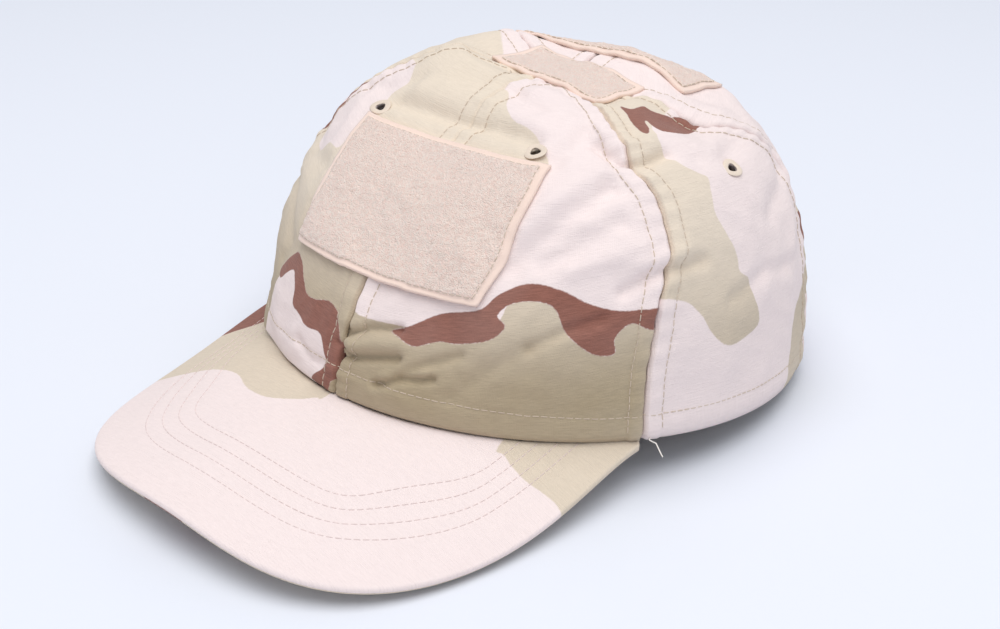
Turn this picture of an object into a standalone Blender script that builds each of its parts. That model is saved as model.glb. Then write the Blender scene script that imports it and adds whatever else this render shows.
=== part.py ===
"""A soft six-panel cap with a curved visor, three loop patches and a rear hook-and-loop strap.

Metres, +Z up. The visor points to -Y and the wearer's left is +X. The origin is at the bottom
centre of the whole cap. Every cloth layer follows the crown's outer surface, at its own depth.
"""

import math

import bmesh
import bpy
from mathutils import Vector

# The crown's lower edge, seen from above, and its height.
HALF_WIDTH = 0.0926
FRONT_REACH = 0.1008
REAR_REACH = 0.1000
CROWN_HEIGHT = 0.1113
APEX_BACK = 0.0065  # the apex sits this far behind the middle of the lower edge
FRONT_LIFT = 0.0235  # the lower edge rises this much over the visor
LIFT_POWER = 1.2
EDGE_SETTLE = 0.0005  # puts the feet of the rear opening on the table

# How square the crown's upright profile is: 2 is an ellipse, 1 a cone.
FRONT_SQUARENESS = 1.62
SIDE_SQUARENESS = 2.96
REAR_SQUARENESS = 2.19

# The soft top settles into a shallow bowl with steep sides.
BOWL_HEIGHT = 0.1045
BOWL_RISE = 0.0030
BOWL_HALF_WIDTH = 0.034
BOWL_HALF_LENGTH = 0.024
BOWL_BLEND = 0.0030

# Seams between the six panels, as angles round the crown from the front.
SIDE_SEAM = math.radians(64.3)
BACK_SEAM = math.radians(118.0)
APEX_HOLE = 0.060  # the panels stop at this share of the crown's reach

# Visor.
VISOR_LENGTH = 0.0661
VISOR_HALF_WIDTH = 0.0823
VISOR_SQUARENESS = 3.25
VISOR_END = math.radians(86.0)
RIM_FRONT_HEIGHT = 0.0119
RIM_LOW_HEIGHT = 0.0030
RIM_END_HEIGHT = 0.0155
VISOR_TUCK = 0.0010  # the visor reaches this far under the crown's edge
BOARD_THICKNESS = 0.0012
BOARD_MARGIN = 0.0030  # from the board's edge to the visor's rim
NARROW_MARGIN = 0.4  # where the visor is narrow, the margin is this share of its width
VISOR_GAP = 0.0003

# Cloth thicknesses, and the gap that touching layers keep.
GAP = 0.0003
PANEL_THICKNESS = 0.0012
COVER_THICKNESS = 0.0006
PATCH_THICKNESS = 0.0016
TAPE_THICKNESS = 0.0006
TAPE_DEPTH = 0.0023
TAPE_HALF_WIDTH = 0.0060
TAPE_TOP = 0.150  # share of the crown's reach where the seam tapes end
BAND_THICKNESS = 0.0012
BAND_DEPTH = 0.0035
BAND_HEIGHT = 0.032
BAND_HEM = 0.0005  # the sweatband starts this far above the crown's edge
TAPE_LOW = 0.20  # share of the climb where the tapes come out from behind the sweatband
BACK_TAPE_LOW = 0.40

# Size label, sewn on the sweatband at the back.
LABEL_NEAR = 0.052
LABEL_WIDTH = 0.016
LABEL_LOW = 0.010
LABEL_HIGH = 0.024
LABEL_THICKNESS = 0.0004

# Eyelets: panel, angle round the crown in degrees, and climb from 0 (edge) to 1 (apex).
EYELETS = (("front", 38.0, 0.632), ("side", 91.3, 0.491), ("back", 148.0, 0.500))
EYELET_HOLE = 0.0041
EYELET_RING = 0.00265
EYELET_THREAD = 0.00110
EYELET_CUT_DEPTH = 0.008

# Loop patches.
FRONT_PATCH_HALF_WIDTH = 0.0379
FRONT_PATCH_LOW = 0.288  # climb of its lower corners
FRONT_PATCH_HIGH = 0.5965  # climb of its upper corners
FRONT_PATCH_BOW = 0.033  # its middle climbs this much more, which keeps its edges level
PATCH_LIFT = 0.0009  # the two patches on top bridge the seams at this height
TOP_PATCH_HALF_WIDTH = 0.0240
TOP_PATCH_FRONT = -0.0060
TOP_PATCH_REAR = 0.0235
BACK_PATCH_HALF_WIDTH = 0.0380
BACK_PATCH_FRONT = 0.0275
BACK_PATCH_REAR = 0.0505

# Rear opening and its strap.
ARCH_HALF_WIDTH = 0.038
ARCH_HEIGHT = 0.046
ARCH_SQUARENESS = 3.0
ARCH_COLUMNS = 8  # the opening's edge is cut in this many straight steps on each side
ARCH_FOOT = 0.012  # the binding starts this share of the way round, just above the table
BINDING_WIDTH = 0.0075
BINDING_THICKNESS = 0.0006
STRAP_BOTTOM = 0.0015
STRAP_TOP = 0.0205
STRAP_ROOT = 0.0343
STRAP_TIP = 0.022
STRAP_THICKNESS = 0.0010
STRAP_TAPE_THICKNESS = 0.0008
STRAP_TAPE_MARGIN = 0.0010
HOOK_TAPE_ROOT = 0.012
LOOP_TAPE_INSET = 0.005
STRAP_FACE = 0.0017  # how far the outer strap stands proud of the crown

CENTRE_Y = (FRONT_REACH + VISOR_LENGTH - REAR_REACH - STRAP_FACE) / 2
SLOPE_STEP = 0.002


def clear_scene():
    for old in list(bpy.data.objects):
        bpy.data.objects.remove(old, do_unlink=True)


def collection(name, hidden=False):
    made = bpy.data.collections.new(name)
    made.hide_render = hidden
    bpy.context.scene.collection.children.link(made)
    return made


def material(name, colour, roughness):
    made = bpy.data.materials.new(name)
    made.use_nodes = True
    shader = made.node_tree.nodes["Principled BSDF"]
    shader.inputs["Base Color"].default_value = (*colour, 1.0)
    shader.inputs["Roughness"].default_value = roughness
    shader.inputs["Metallic"].default_value = 0.0
    return made


# ---- The crown's outer surface -------------------------------------------------------------


def mix(low, high, share):
    return low + (high - low) * share


def edge_height(angle):
    return FRONT_LIFT * max(0.0, 0.5 + 0.5 * math.cos(angle)) ** LIFT_POWER - EDGE_SETTLE


def squareness(angle):
    end = FRONT_SQUARENESS if math.cos(angle) > 0 else REAR_SQUARENESS
    return mix(end, SIDE_SQUARENESS, math.sin(angle) ** 2)


def reach(angle, climb):
    """Share of the lower edge's reach that is left after climbing from 0 (edge) to 1 (apex)."""
    return max(0.0, math.cos(climb * math.pi / 2)) ** (2 / squareness(angle))


def climb_at_reach(angle, share):
    return math.acos(share ** (squareness(angle) / 2)) * 2 / math.pi


def climb_at_height(angle, height):
    edge = edge_height(angle)
    share = max(0.0, (height - edge) / (CROWN_HEIGHT - edge))
    return math.asin(min(1.0, share) ** (squareness(angle) / 2)) * 2 / math.pi


def settled(x, y, height):
    """The dome's height, or the bowl's where that is lower, with a soft edge between them."""
    out = (x / BOWL_HALF_WIDTH) ** 2 + ((y - APEX_BACK) / BOWL_HALF_LENGTH) ** 2
    bowl = BOWL_HEIGHT + BOWL_RISE * out**2
    share = min(1.0, max(0.0, 0.5 + (bowl - height) / (2 * BOWL_BLEND)))
    return mix(bowl, height, share) - BOWL_BLEND * share * (1 - share)


def bare_crown(angle, climb):
    left = reach(angle, climb)
    rise = math.sin(max(0.0, climb) * math.pi / 2) ** (2 / squareness(angle))
    depth = FRONT_REACH if math.cos(angle) > 0 else REAR_REACH
    x = HALF_WIDTH * math.sin(angle) * left
    y = APEX_BACK * (1 - left) - depth * math.cos(angle) * left
    z = mix(edge_height(angle), CROWN_HEIGHT, rise)
    return Vector((x, y + CENTRE_Y, settled(x, y, z)))


def crown_normal(angle, climb):
    low = max(0.0, climb - SLOPE_STEP)
    high = min(1.0, climb + SLOPE_STEP)
    round_it = bare_crown(angle + SLOPE_STEP, climb) - bare_crown(angle - SLOPE_STEP, climb)
    up_it = bare_crown(angle, high) - bare_crown(angle, low)
    return round_it.cross(up_it).normalized()


def crown(angle, climb, out=0.0):
    return bare_crown(angle, climb) + crown_normal(angle, climb) * out


def angle_at_x(x, climb_of_angle, low, high):
    """The angle at which the crown's surface is at this x. Going from low to high, x grows."""
    for _ in range(50):
        middle = (low + high) / 2
        if bare_crown(middle, climb_of_angle(middle)).x < x:
            low = middle
        else:
            high = middle
    return (low + high) / 2


def front_point(x, climb, out):
    side = math.copysign(1, x)
    angle = angle_at_x(abs(x), lambda a: climb, 0.0, math.pi / 2)
    return crown(side * angle, climb, out)


def rear_place(x, height):
    """Angle and climb of the rear wall's point at this x and height."""
    side = math.copysign(1, x)
    angle = angle_at_x(abs(x), lambda a: climb_at_height(a, height), math.pi, math.pi / 2)
    return side * angle, climb_at_height(angle, height)


# ---- Solids from cloth -----------------------------------------------------------------------


def sheet(name, place, columns, rows, thickness, finish, group):
    """A closed sheet: place(u, v) gives its outer face, and its thickness goes inwards."""
    shape = bmesh.new()
    bmesh.ops.create_grid(shape, x_segments=columns, y_segments=rows, size=0.5)
    for vert in shape.verts:
        vert.co = place(vert.co.x + 0.5, vert.co.y + 0.5)
    mesh = bpy.data.meshes.new(name)
    shape.to_mesh(mesh)
    shape.free()
    mesh.shade_smooth()
    mesh.materials.append(finish)
    made = bpy.data.objects.new(name, mesh)
    group.objects.link(made)
    wall = made.modifiers.new("Thickness", "SOLIDIFY")
    wall.thickness = thickness
    wall.offset = -1.0
    wall.use_quality_normals = True
    return made


def seam_inset(angle, climb):
    return GAP / 2 / (HALF_WIDTH * reach(angle, climb))


def hinge_empty(name, position, group):
    empty = bpy.data.objects.new(name, None)
    empty.location = position
    group.objects.link(empty)
    return empty


def parent_in_place(child, parent):
    child.parent = parent
    child.matrix_parent_inverse = parent.matrix_world.inverted()


# ---- Crown ---------------------------------------------------------------------------------


def panel(name, start, end, finish, group):
    def place(u, v):
        angle = mix(start, end, u)
        climb = climb_at_reach(angle, APEX_HOLE) * v
        inset = seam_inset(angle, climb)
        angle += inset * (1 - 2 * u)
        return crown(angle, climb)

    return sheet(name, place, 8, 14, PANEL_THICKNESS, finish, group)


def arch_edge(turn, grow=0.0):
    """Point x, height of the rear opening's edge: turn 0 is its foot, 1 its top at the middle."""
    round_it = turn * math.pi / 2
    x = (ARCH_HALF_WIDTH + grow) * math.cos(round_it) ** (2 / ARCH_SQUARENESS)
    height = (ARCH_HEIGHT + grow) * math.sin(round_it) ** (2 / ARCH_SQUARENESS)
    return x, height


def back_panel(name, side, finish, group):
    plain_columns = 4
    columns = plain_columns + ARCH_COLUMNS
    foot = rear_place(ARCH_HALF_WIDTH, 0.0)[0]

    def place(u, v):
        column = u * columns
        if column <= plain_columns + 0.001:
            angle, low = mix(BACK_SEAM, foot, column / plain_columns), 0.0
        else:
            x, height = arch_edge((column - plain_columns) / ARCH_COLUMNS)
            angle, low = rear_place(x, height)
        climb = mix(low, climb_at_reach(angle, APEX_HOLE), v)
        share = (angle - BACK_SEAM) / (math.pi - BACK_SEAM)
        angle += seam_inset(angle, climb) * (1 - 2 * share)
        return crown(side * angle, climb)

    def mirrored(u, v):
        return place(1 - u, v)

    return sheet(name, place if side > 0 else mirrored, columns, 13, PANEL_THICKNESS, finish, group)


def eyelet(name, angle, climb, host, finish, group, cutters):
    position = crown(angle, climb, -PANEL_THICKNESS / 2)
    turn = crown_normal(angle, climb).to_track_quat("Z", "Y").to_euler()
    shape = bmesh.new()
    bmesh.ops.create_cone(
        shape, cap_ends=True, segments=12, radius1=EYELET_HOLE, radius2=EYELET_HOLE, depth=EYELET_CUT_DEPTH
    )
    mesh = bpy.data.meshes.new(name + "_hole")
    shape.to_mesh(mesh)
    shape.free()
    cutter = bpy.data.objects.new(name + "_hole", mesh)
    cutter.location = position
    cutter.rotation_euler = turn
    cutter.hide_render = True
    cutter.display_type = "WIRE"
    cutters.objects.link(cutter)
    hole = host.modifiers.new("Eyelet hole", "BOOLEAN")
    hole.operation = "DIFFERENCE"
    hole.solver = "EXACT"
    hole.object = cutter
    bpy.ops.mesh.primitive_torus_add(
        major_segments=12,
        minor_segments=6,
        major_radius=EYELET_RING,
        minor_radius=EYELET_THREAD,
        location=position,
        rotation=turn,
    )
    ring = bpy.context.object
    ring.name = name
    ring.data.materials.append(finish)
    ring.data.shade_smooth()
    for old in list(ring.users_collection):
        old.objects.unlink(ring)
    group.objects.link(ring)
    return ring


def seam_tape(name, seam, low_climb, finish, group):
    def place(u, v):
        climb = mix(low_climb, climb_at_reach(seam, TAPE_TOP), v)
        across = (2 * u - 1) * TAPE_HALF_WIDTH
        angle = seam + across / (HALF_WIDTH * reach(seam, climb))
        return crown(angle, climb, -TAPE_DEPTH)

    return sheet(name, place, 1, 10, TAPE_THICKNESS, finish, group)


def sweatband(finish, group):
    end = rear_place(ARCH_HALF_WIDTH + BINDING_WIDTH / 2, 0.0)[0]

    def place(u, v):
        angle = mix(-end, end, u)
        height = edge_height(angle) + mix(BAND_HEM, BAND_HEIGHT, v)
        return crown(angle, climb_at_height(angle, height), -BAND_DEPTH)

    return sheet("sweatband", place, 48, 2, BAND_THICKNESS, finish, group)


def size_label(finish, group):
    def place(u, v):
        angle, climb = rear_place(-LABEL_NEAR - LABEL_WIDTH * u, mix(LABEL_LOW, LABEL_HIGH, v))
        depth = BAND_DEPTH + BAND_THICKNESS + GAP
        return crown(angle, climb, -depth)

    return sheet("size_label", place, 3, 2, LABEL_THICKNESS, finish, group)


# ---- Visor ---------------------------------------------------------------------------------


def visor_place(turn, out_share, down=0.0, margin=0.0):
    """A point of the visor: turn -1..1 goes round it, out_share 0 is the crown's edge, 1 the rim."""
    around = turn * VISOR_END
    root_angle = turn * VISOR_END / (math.pi / 2) * SIDE_SEAM
    root_x = HALF_WIDTH * math.sin(root_angle)
    root_y = -FRONT_REACH * math.cos(root_angle)
    root = Vector((root_x, root_y + VISOR_TUCK, edge_height(root_angle) - GAP))
    root.x -= VISOR_TUCK * math.sin(root_angle)

    back = -FRONT_REACH * math.cos(SIDE_SEAM)
    long_reach = VISOR_LENGTH + FRONT_REACH + back
    across = (abs(math.sin(around)) / VISOR_HALF_WIDTH) ** VISOR_SQUARENESS
    along = (abs(math.cos(around)) / long_reach) ** VISOR_SQUARENESS
    radius = (across + along) ** (-1 / VISOR_SQUARENESS)
    dipped = math.sin(2 * around) ** 2
    top = RIM_FRONT_HEIGHT if abs(around) < math.pi / 4 else RIM_END_HEIGHT
    rim_x = radius * math.sin(around)
    rim_y = back - radius * math.cos(around)
    rim = Vector((rim_x, rim_y, mix(top, RIM_LOW_HEIGHT, dipped)))
    width = (rim - root).length
    inset = min(margin, NARROW_MARGIN * width)
    point = root.lerp(rim, out_share * (1 - inset / width))
    point.y += CENTRE_Y
    point.z -= down
    return point


def visor_layer(name, down, thickness, margin, rim_drop, finish, group):
    """One layer of the visor. The last row, beyond the board, closes by rim_drop."""
    rows = 5

    def place(u, v):
        share = min(1.0, v * rows / (rows - 1))
        if v > 1 - 0.5 / rows and rim_drop:
            return visor_place(2 * u - 1, 1.0, down + rim_drop, margin)
        inner = margin + (BOARD_MARGIN if rim_drop else 0.0)
        return visor_place(2 * u - 1, share if rim_drop else v, down, inner)

    def flipped(u, v):
        return place(1 - u, v)

    return sheet(name, flipped, 26, rows, thickness, finish, group)


def visor(cloth, board, group):
    board_down = COVER_THICKNESS + VISOR_GAP
    under_down = board_down + BOARD_THICKNESS + VISOR_GAP
    closing = (BOARD_THICKNESS + VISOR_GAP) / 2
    visor_layer("visor_top_cover", 0.0, COVER_THICKNESS, 0.0, closing, cloth, group)
    visor_layer("visor_board", board_down, BOARD_THICKNESS, BOARD_MARGIN, 0.0, board, group)
    visor_layer("visor_under_cover", under_down, COVER_THICKNESS, 0.0, -closing, cloth, group)


# ---- Patches -------------------------------------------------------------------------------


def front_patch(finish, group):
    def place(u, v):
        x = (2 * u - 1) * FRONT_PATCH_HALF_WIDTH
        climb = mix(FRONT_PATCH_LOW, FRONT_PATCH_HIGH, v) + FRONT_PATCH_BOW * (1 - (2 * u - 1) ** 2)
        return front_point(x, climb, GAP + PATCH_THICKNESS)

    return sheet("front_loop_patch", place, 10, 7, PATCH_THICKNESS, finish, group)


def crown_over(x, y):
    """The crown's surface right above or below the plan point x, y."""
    angle = math.atan2(x / HALF_WIDTH, -(y - APEX_BACK) / REAR_REACH)
    climb = 1.0
    for _ in range(60):
        left = reach(angle, climb)
        depth = FRONT_REACH if math.cos(angle) > 0 else REAR_REACH
        centre_y = APEX_BACK * (1 - left)
        flat = math.hypot(x / HALF_WIDTH, (y - centre_y) / depth)
        angle = math.atan2(x / HALF_WIDTH, -(y - centre_y) / depth)
        climb = climb_at_reach(angle, max(1e-6, min(1.0, flat)))
    return crown(angle, min(climb, 0.999))


def lying_patch(name, half_width, front, rear, rows, finish, group):
    """A patch that lies on top of the crown, with straight sides as seen from above."""

    def place(u, v):
        lift = Vector((0, 0, PATCH_LIFT + PATCH_THICKNESS))
        return crown_over((2 * u - 1) * half_width, mix(front, rear, v)) + lift

    return sheet(name, place, 10, rows, PATCH_THICKNESS, finish, group)


# ---- Rear opening --------------------------------------------------------------------------


def binding(finish, group):
    """Cloth tape folded over the opening's edge: a U section swept along the arch."""
    outer = GAP + BINDING_THICKNESS
    inner = -PANEL_THICKNESS - 2 * GAP
    lip = -2 * GAP - BINDING_THICKNESS
    section = [
        (BINDING_WIDTH, outer),
        (lip, outer),
        (lip, inner - BINDING_THICKNESS),
        (BINDING_WIDTH, inner - BINDING_THICKNESS),
        (BINDING_WIDTH, inner),
        (-2 * GAP, inner),
        (-2 * GAP, GAP),
        (BINDING_WIDTH, GAP),
    ]
    shape = bmesh.new()
    rings = []
    for station in range(2 * ARCH_COLUMNS + 1):
        side = 1 if station <= ARCH_COLUMNS else -1
        turn = max(ARCH_FOOT, 1 - abs(1 - station / ARCH_COLUMNS))
        ring = []
        for across, out in section:
            x, height = arch_edge(turn, across)
            angle, climb = rear_place(side * max(x, 1e-6), height)
            ring.append(shape.verts.new(crown(angle, climb, out)))
        rings.append(ring)
    count = len(section)
    for ring, after in zip(rings, rings[1:]):
        for i in range(count):
            j = (i + 1) % count
            shape.faces.new((ring[i], ring[j], after[j], after[i]))
    shape.faces.new(rings[0])
    shape.faces.new(rings[-1])
    bmesh.ops.recalc_face_normals(shape, faces=shape.faces)
    mesh = bpy.data.meshes.new("opening_binding")
    shape.to_mesh(mesh)
    shape.free()
    mesh.materials.append(finish)
    made = bpy.data.objects.new("opening_binding", mesh)
    group.objects.link(made)


def strap_layer(name, side, face, root, tip, margin, thickness, finish, group):
    """One layer of a strap, from its sewn root at x = side * root to its tip past the middle."""

    def place(u, v):
        x = side * mix(root, -tip, u)
        angle, climb = rear_place(x, mix(STRAP_BOTTOM + margin, STRAP_TOP - margin, v))
        return crown(angle, climb, face)

    def mirrored(u, v):
        return place(1 - u, v)

    return sheet(name, mirrored if side < 0 else place, 10, 2, thickness, finish, group)


def straps(cloth, hook, loop, group):
    face = STRAP_FACE
    loop_root = STRAP_ROOT - LOOP_TAPE_INSET
    tape_tip = STRAP_TIP - STRAP_TAPE_MARGIN
    margin = STRAP_TAPE_MARGIN
    thin = STRAP_TAPE_THICKNESS
    parts = {}
    parts["hook_strap"] = strap_layer(
        "hook_strap", -1, face, STRAP_ROOT, STRAP_TIP, 0.0, STRAP_THICKNESS, cloth, group
    )
    face -= STRAP_THICKNESS + GAP
    parts["hook_tape"] = strap_layer(
        "hook_tape", -1, face, HOOK_TAPE_ROOT, tape_tip, margin, thin, hook, group
    )
    face -= thin + GAP
    parts["loop_tape"] = strap_layer(
        "loop_tape", 1, face, loop_root, tape_tip, margin, thin, loop, group
    )
    face -= thin + GAP
    parts["loop_strap"] = strap_layer(
        "loop_strap", 1, face, STRAP_ROOT, STRAP_TIP, 0.0, STRAP_THICKNESS, cloth, group
    )
    middle = (STRAP_BOTTOM + STRAP_TOP) / 2
    for side, depth, names in (
        (-1, STRAP_FACE - STRAP_THICKNESS / 2, ("hook_strap", "hook_tape")),
        (1, face - STRAP_THICKNESS / 2, ("loop_strap", "loop_tape")),
    ):
        angle, climb = rear_place(side * STRAP_ROOT, middle)
        hinge = hinge_empty(names[0] + "_hinge", crown(angle, climb, depth), group)
        bpy.context.view_layer.update()
        for name in names:
            parent_in_place(parts[name], hinge)


def build():
    clear_scene()
    group = collection("six_panel_cap")
    cutters = collection("cutters", hidden=True)
    camo = material("camo_ripstop", (0.70, 0.58, 0.50), 0.85)
    thread = material("tan_thread", (0.62, 0.50, 0.40), 0.7)
    pile = material("loop_pile", (0.80, 0.62, 0.54), 0.95)
    hooks = material("hook_tape", (0.55, 0.44, 0.36), 0.6)
    twill = material("khaki_twill", (0.60, 0.50, 0.38), 0.85)
    board = material("visor_plastic", (0.80, 0.80, 0.76), 0.5)
    label = material("white_label", (0.85, 0.85, 0.82), 0.7)

    sides = (("left", 1), ("right", -1))
    hosts = {}
    for word, side in sides:
        for part, start, end in (("front", 0.0, SIDE_SEAM), ("side", SIDE_SEAM, BACK_SEAM)):
            name = f"{part}_panel_{word}"
            low, high = (start, end) if side > 0 else (-end, -start)
            hosts[name] = panel(name, low, high, camo, group)
        name = f"back_panel_{word}"
        hosts[name] = back_panel(name, side, camo, group)
    for word, side in sides:
        for part, degrees, climb in EYELETS:
            host = hosts[f"{part}_panel_{word}"]
            name = f"{part}_eyelet_{word}"
            eyelet(name, side * math.radians(degrees), climb, host, thread, group, cutters)

    seam_tape("front_seam_tape", 0.0, TAPE_LOW, twill, group)
    seam_tape("back_seam_tape", math.pi, BACK_TAPE_LOW, twill, group)
    for word, side in sides:
        seam_tape(f"front_side_seam_tape_{word}", side * SIDE_SEAM, TAPE_LOW, twill, group)
        seam_tape(f"back_side_seam_tape_{word}", side * BACK_SEAM, TAPE_LOW, twill, group)
    sweatband(twill, group)
    size_label(label, group)
    visor(camo, board, group)
    front_patch(pile, group)
    lying_patch(
        "top_loop_patch", TOP_PATCH_HALF_WIDTH, TOP_PATCH_FRONT, TOP_PATCH_REAR, 6, pile, group
    )
    lying_patch(
        "back_loop_patch", BACK_PATCH_HALF_WIDTH, BACK_PATCH_FRONT, BACK_PATCH_REAR, 4, pile, group
    )
    binding(twill, group)
    straps(camo, hooks, pile, group)


build()
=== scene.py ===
import math

import bmesh
import bpy
import numpy as np
from mathutils import Matrix, Vector


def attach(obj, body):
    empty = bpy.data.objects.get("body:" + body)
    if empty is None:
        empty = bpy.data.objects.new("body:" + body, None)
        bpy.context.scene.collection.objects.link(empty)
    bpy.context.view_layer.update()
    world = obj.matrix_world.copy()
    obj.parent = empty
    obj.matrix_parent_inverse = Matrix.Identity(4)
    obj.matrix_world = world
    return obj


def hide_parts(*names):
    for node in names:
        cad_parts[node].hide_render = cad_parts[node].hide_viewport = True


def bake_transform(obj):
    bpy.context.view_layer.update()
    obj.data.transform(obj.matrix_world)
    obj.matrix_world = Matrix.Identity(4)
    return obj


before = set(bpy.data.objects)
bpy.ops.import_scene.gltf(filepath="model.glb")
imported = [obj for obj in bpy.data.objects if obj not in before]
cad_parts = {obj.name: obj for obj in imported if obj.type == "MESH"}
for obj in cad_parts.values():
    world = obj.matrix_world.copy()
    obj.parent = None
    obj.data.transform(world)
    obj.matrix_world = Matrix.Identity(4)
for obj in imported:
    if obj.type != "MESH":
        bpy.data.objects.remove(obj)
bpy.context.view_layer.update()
print("frame loaded:", len(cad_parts), "nodes")

# The crown's own shape, in metres. Angles go round it from the front, and climb goes from 0 at the
# lower edge to 1 at the apex.
crown = {
    "halfWidth": 0.0926,
    "frontReach": 0.1008,
    "rearReach": 0.1000,
    "height": 0.1113,
    "apexBack": 0.0065,
    "frontLift": 0.0235,
    "liftPower": 1.2,
    "edgeSettle": 0.0005,
    "frontSquareness": 1.62,
    "sideSquareness": 2.96,
    "rearSquareness": 2.19,
    "bowlHeight": 0.1045,
    "bowlRise": 0.0030,
    "bowlHalfWidth": 0.034,
    "bowlHalfLength": 0.024,
    "bowlBlend": 0.0030,
    "centreBack": 0.0326,  # from the middle of the whole cap back to the middle of the crown
    "gore": 0.16,  # length of a panel from edge to apex
    "cloth": 0.0009,
    "apexHole": 0.03,
}
seams = {
    "side": math.radians(64.3),
    "back": math.radians(118.0),
    "allowance": 0.0056,  # from a seam to its topstitching
    "allowanceLift": 0.00050,
    "groove": 0.0017,
    "grooveWidth": 0.0007,
    "pressed": 0.65,  # how much of the front seam's groove is ironed out above its patch
    "lean": math.radians(19.0),
    "leanFrom": 0.40,
    "leanFull": 0.75,
    "bow": math.radians(4.8),
    "bowMiddle": 0.40,
    "bowSpread": 0.15,
    "footLean": math.radians(2.2),
    "footTop": 0.30,
    "wander": math.radians(0.3),
    "stitchDip": 0.00040,
    "stitchDipWidth": 0.0008,
    "stitchLow": 0.008,
    "stitchTop": 0.92,
    "pucker": 0.00026,
    "puckerPitch": 0.0072,
    "puckerWidth": 0.007,
    "hem": 0.0092,
    "hemDip": 0.00030,
    "hemDipWidth": 0.0009,
    "hemLift": 0.00035,
    "edgeRoll": 0.0011,
    "edgeRollHeight": 0.0016,
}

# Folds in the soft cloth: path as degrees round and climb, half width and height in millimetres.
folds = [
    ([(-37, 0.650), (-22, 0.668), (0, 0.675), (20, 0.672), (37, 0.655)], 3.2, -1.5),
    ([(-34, 0.70), (-10, 0.725), (12, 0.725), (34, 0.70)], 6.0, 1.2),
    ([(1, 0.195), (6, 0.222), (13, 0.232)], 1.5, -1.7),
    ([(0, 0.130), (7, 0.155), (14, 0.170)], 1.5, -1.9),
    ([(10, 0.092), (15, 0.118), (22, 0.130)], 1.4, -1.9),
    ([(15, 0.128), (20, 0.160), (27, 0.185)], 1.7, -1.3),
    ([(3, 0.172), (14, 0.200)], 2.6, 1.1),
    ([(12, 0.115), (20, 0.142)], 2.2, 1.0),
    ([(40, 0.190), (47, 0.215), (54, 0.225)], 1.8, -1.2),
    ([(-2, 0.165), (2, 0.150)], 1.5, -1.3),
    ([(26, 0.090), (33, 0.150), (40, 0.190)], 2.6, -0.8),
    ([(36, 0.37), (42, 0.42), (49, 0.475), (58, 0.52)], 4.0, -1.5),
    ([(42, 0.36), (50, 0.395), (59, 0.425)], 3.6, -1.2),
    ([(38, 0.45), (46, 0.51), (56, 0.57)], 4.2, 1.0),
    ([(48, 0.34), (56, 0.35), (63, 0.365)], 3.0, 0.7),
    ([(58, 0.270), (66, 0.298), (76, 0.292)], 2.4, -1.3),
    ([(62, 0.325), (72, 0.335)], 3.0, 0.8),
    ([(82, 0.190), (93, 0.215), (105, 0.200)], 3.0, -1.0),
    ([(57, 0.655), (62, 0.600), (67, 0.578), (75, 0.590)], 2.4, -1.8),
    ([(60, 0.70), (66, 0.650), (72, 0.640)], 3.2, 1.3),
    ([(84, 0.55), (92, 0.53), (101, 0.55)], 4.5, -0.9),
    ([(100, 0.34), (110, 0.38), (117, 0.44)], 4.0, -1.0),
    ([(44, 0.60), (50, 0.655), (55, 0.70)], 3.6, -1.2),
    ([(14, 0.78), (24, 0.76), (36, 0.75)], 3.2, -0.9),
    ([(-62, 0.42), (-50, 0.40), (-38, 0.42)], 4.5, -1.0),
    ([(-60, 0.27), (-48, 0.30), (-33, 0.25)], 3.2, -1.1),
    ([(-30, 0.36), (-27, 0.28), (-33, 0.20)], 3.0, -0.8),
    ([(-14, 0.10), (-9, 0.075), (-5, 0.085)], 1.8, -0.8),
    ([(-58, 0.60), (-50, 0.66), (-44, 0.72)], 3.8, -1.1),
    ([(-104, 0.24), (-90, 0.27), (-78, 0.25)], 3.6, -1.2),
    ([(-112, 0.46), (-98, 0.43), (-84, 0.46)], 4.5, 1.0),
    ([(-68, 0.34), (-60, 0.33)], 2.6, -1.0),
    ([(-152, 0.62), (-138, 0.56), (-124, 0.58)], 4.4, -1.2),
    ([(-134, 0.30), (-126, 0.36), (-119, 0.40)], 3.6, -1.0),
    ([(124, 0.30), (136, 0.36), (146, 0.44)], 4.0, -1.1),
    ([(122, 0.58), (138, 0.60), (152, 0.66)], 4.4, 1.0),
    ([(166, 0.50), (180, 0.54), (194, 0.50)], 4.0, -1.2),
    ([(160, 0.66), (180, 0.68), (200, 0.66)], 5.0, 1.1),
]
# Where the top slumps or stands up: place and spread, across and back from the crown's middle, and
# height, all in millimetres.
slumps = [
    ((30, -8), (13, 13), -5.0),
    ((30, 14), (13, 13), -4.5),
    ((52, 8), (13, 14), -7.5),
    ((38, 31), (12, 12), -5.5),
    ((52, 42), (12, 12), -2.5),
    ((50, -24), (12, 12), -2.5),
    ((-26, -18), (14, 13), 3.0),
    ((-32, 10), (12, 16), 2.2),
    ((-20, 42), (18, 14), -4.8),
    ((12, 44), (14, 12), -2.0),
]
# Broad outward swells that reach the lower edge: path, half width and height, as for the folds.
swells = [
    ([(-60, 0.0), (-46, 0.0), (-36, 0.0)], 11.0, 2.4),
]
ripples = {"amount": 0.00046, "long": 0.034, "middle": 0.019, "short": 0.010, "bend": 0.0045}
foldStrength = 1.4  # multiplies every fold's height
foldFoot = 0.06  # folds and ripples fade out below this climb
slumpBand = (0.082, 0.098)  # the slumps start at the first height and act in full from the second


def mix(low, high, share):
    return low + (high - low) * share


def smooth(low, high, value):
    share = np.clip((value - low) / (high - low), 0.0, 1.0)
    return share * share * (3 - 2 * share)


def unit(rows):
    return rows / np.maximum(np.linalg.norm(rows, axis=-1, keepdims=True), 1e-12)


def edgeHeight(angle):
    lift = np.maximum(0.0, 0.5 + 0.5 * np.cos(angle)) ** crown["liftPower"]
    return crown["frontLift"] * lift - crown["edgeSettle"]


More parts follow.
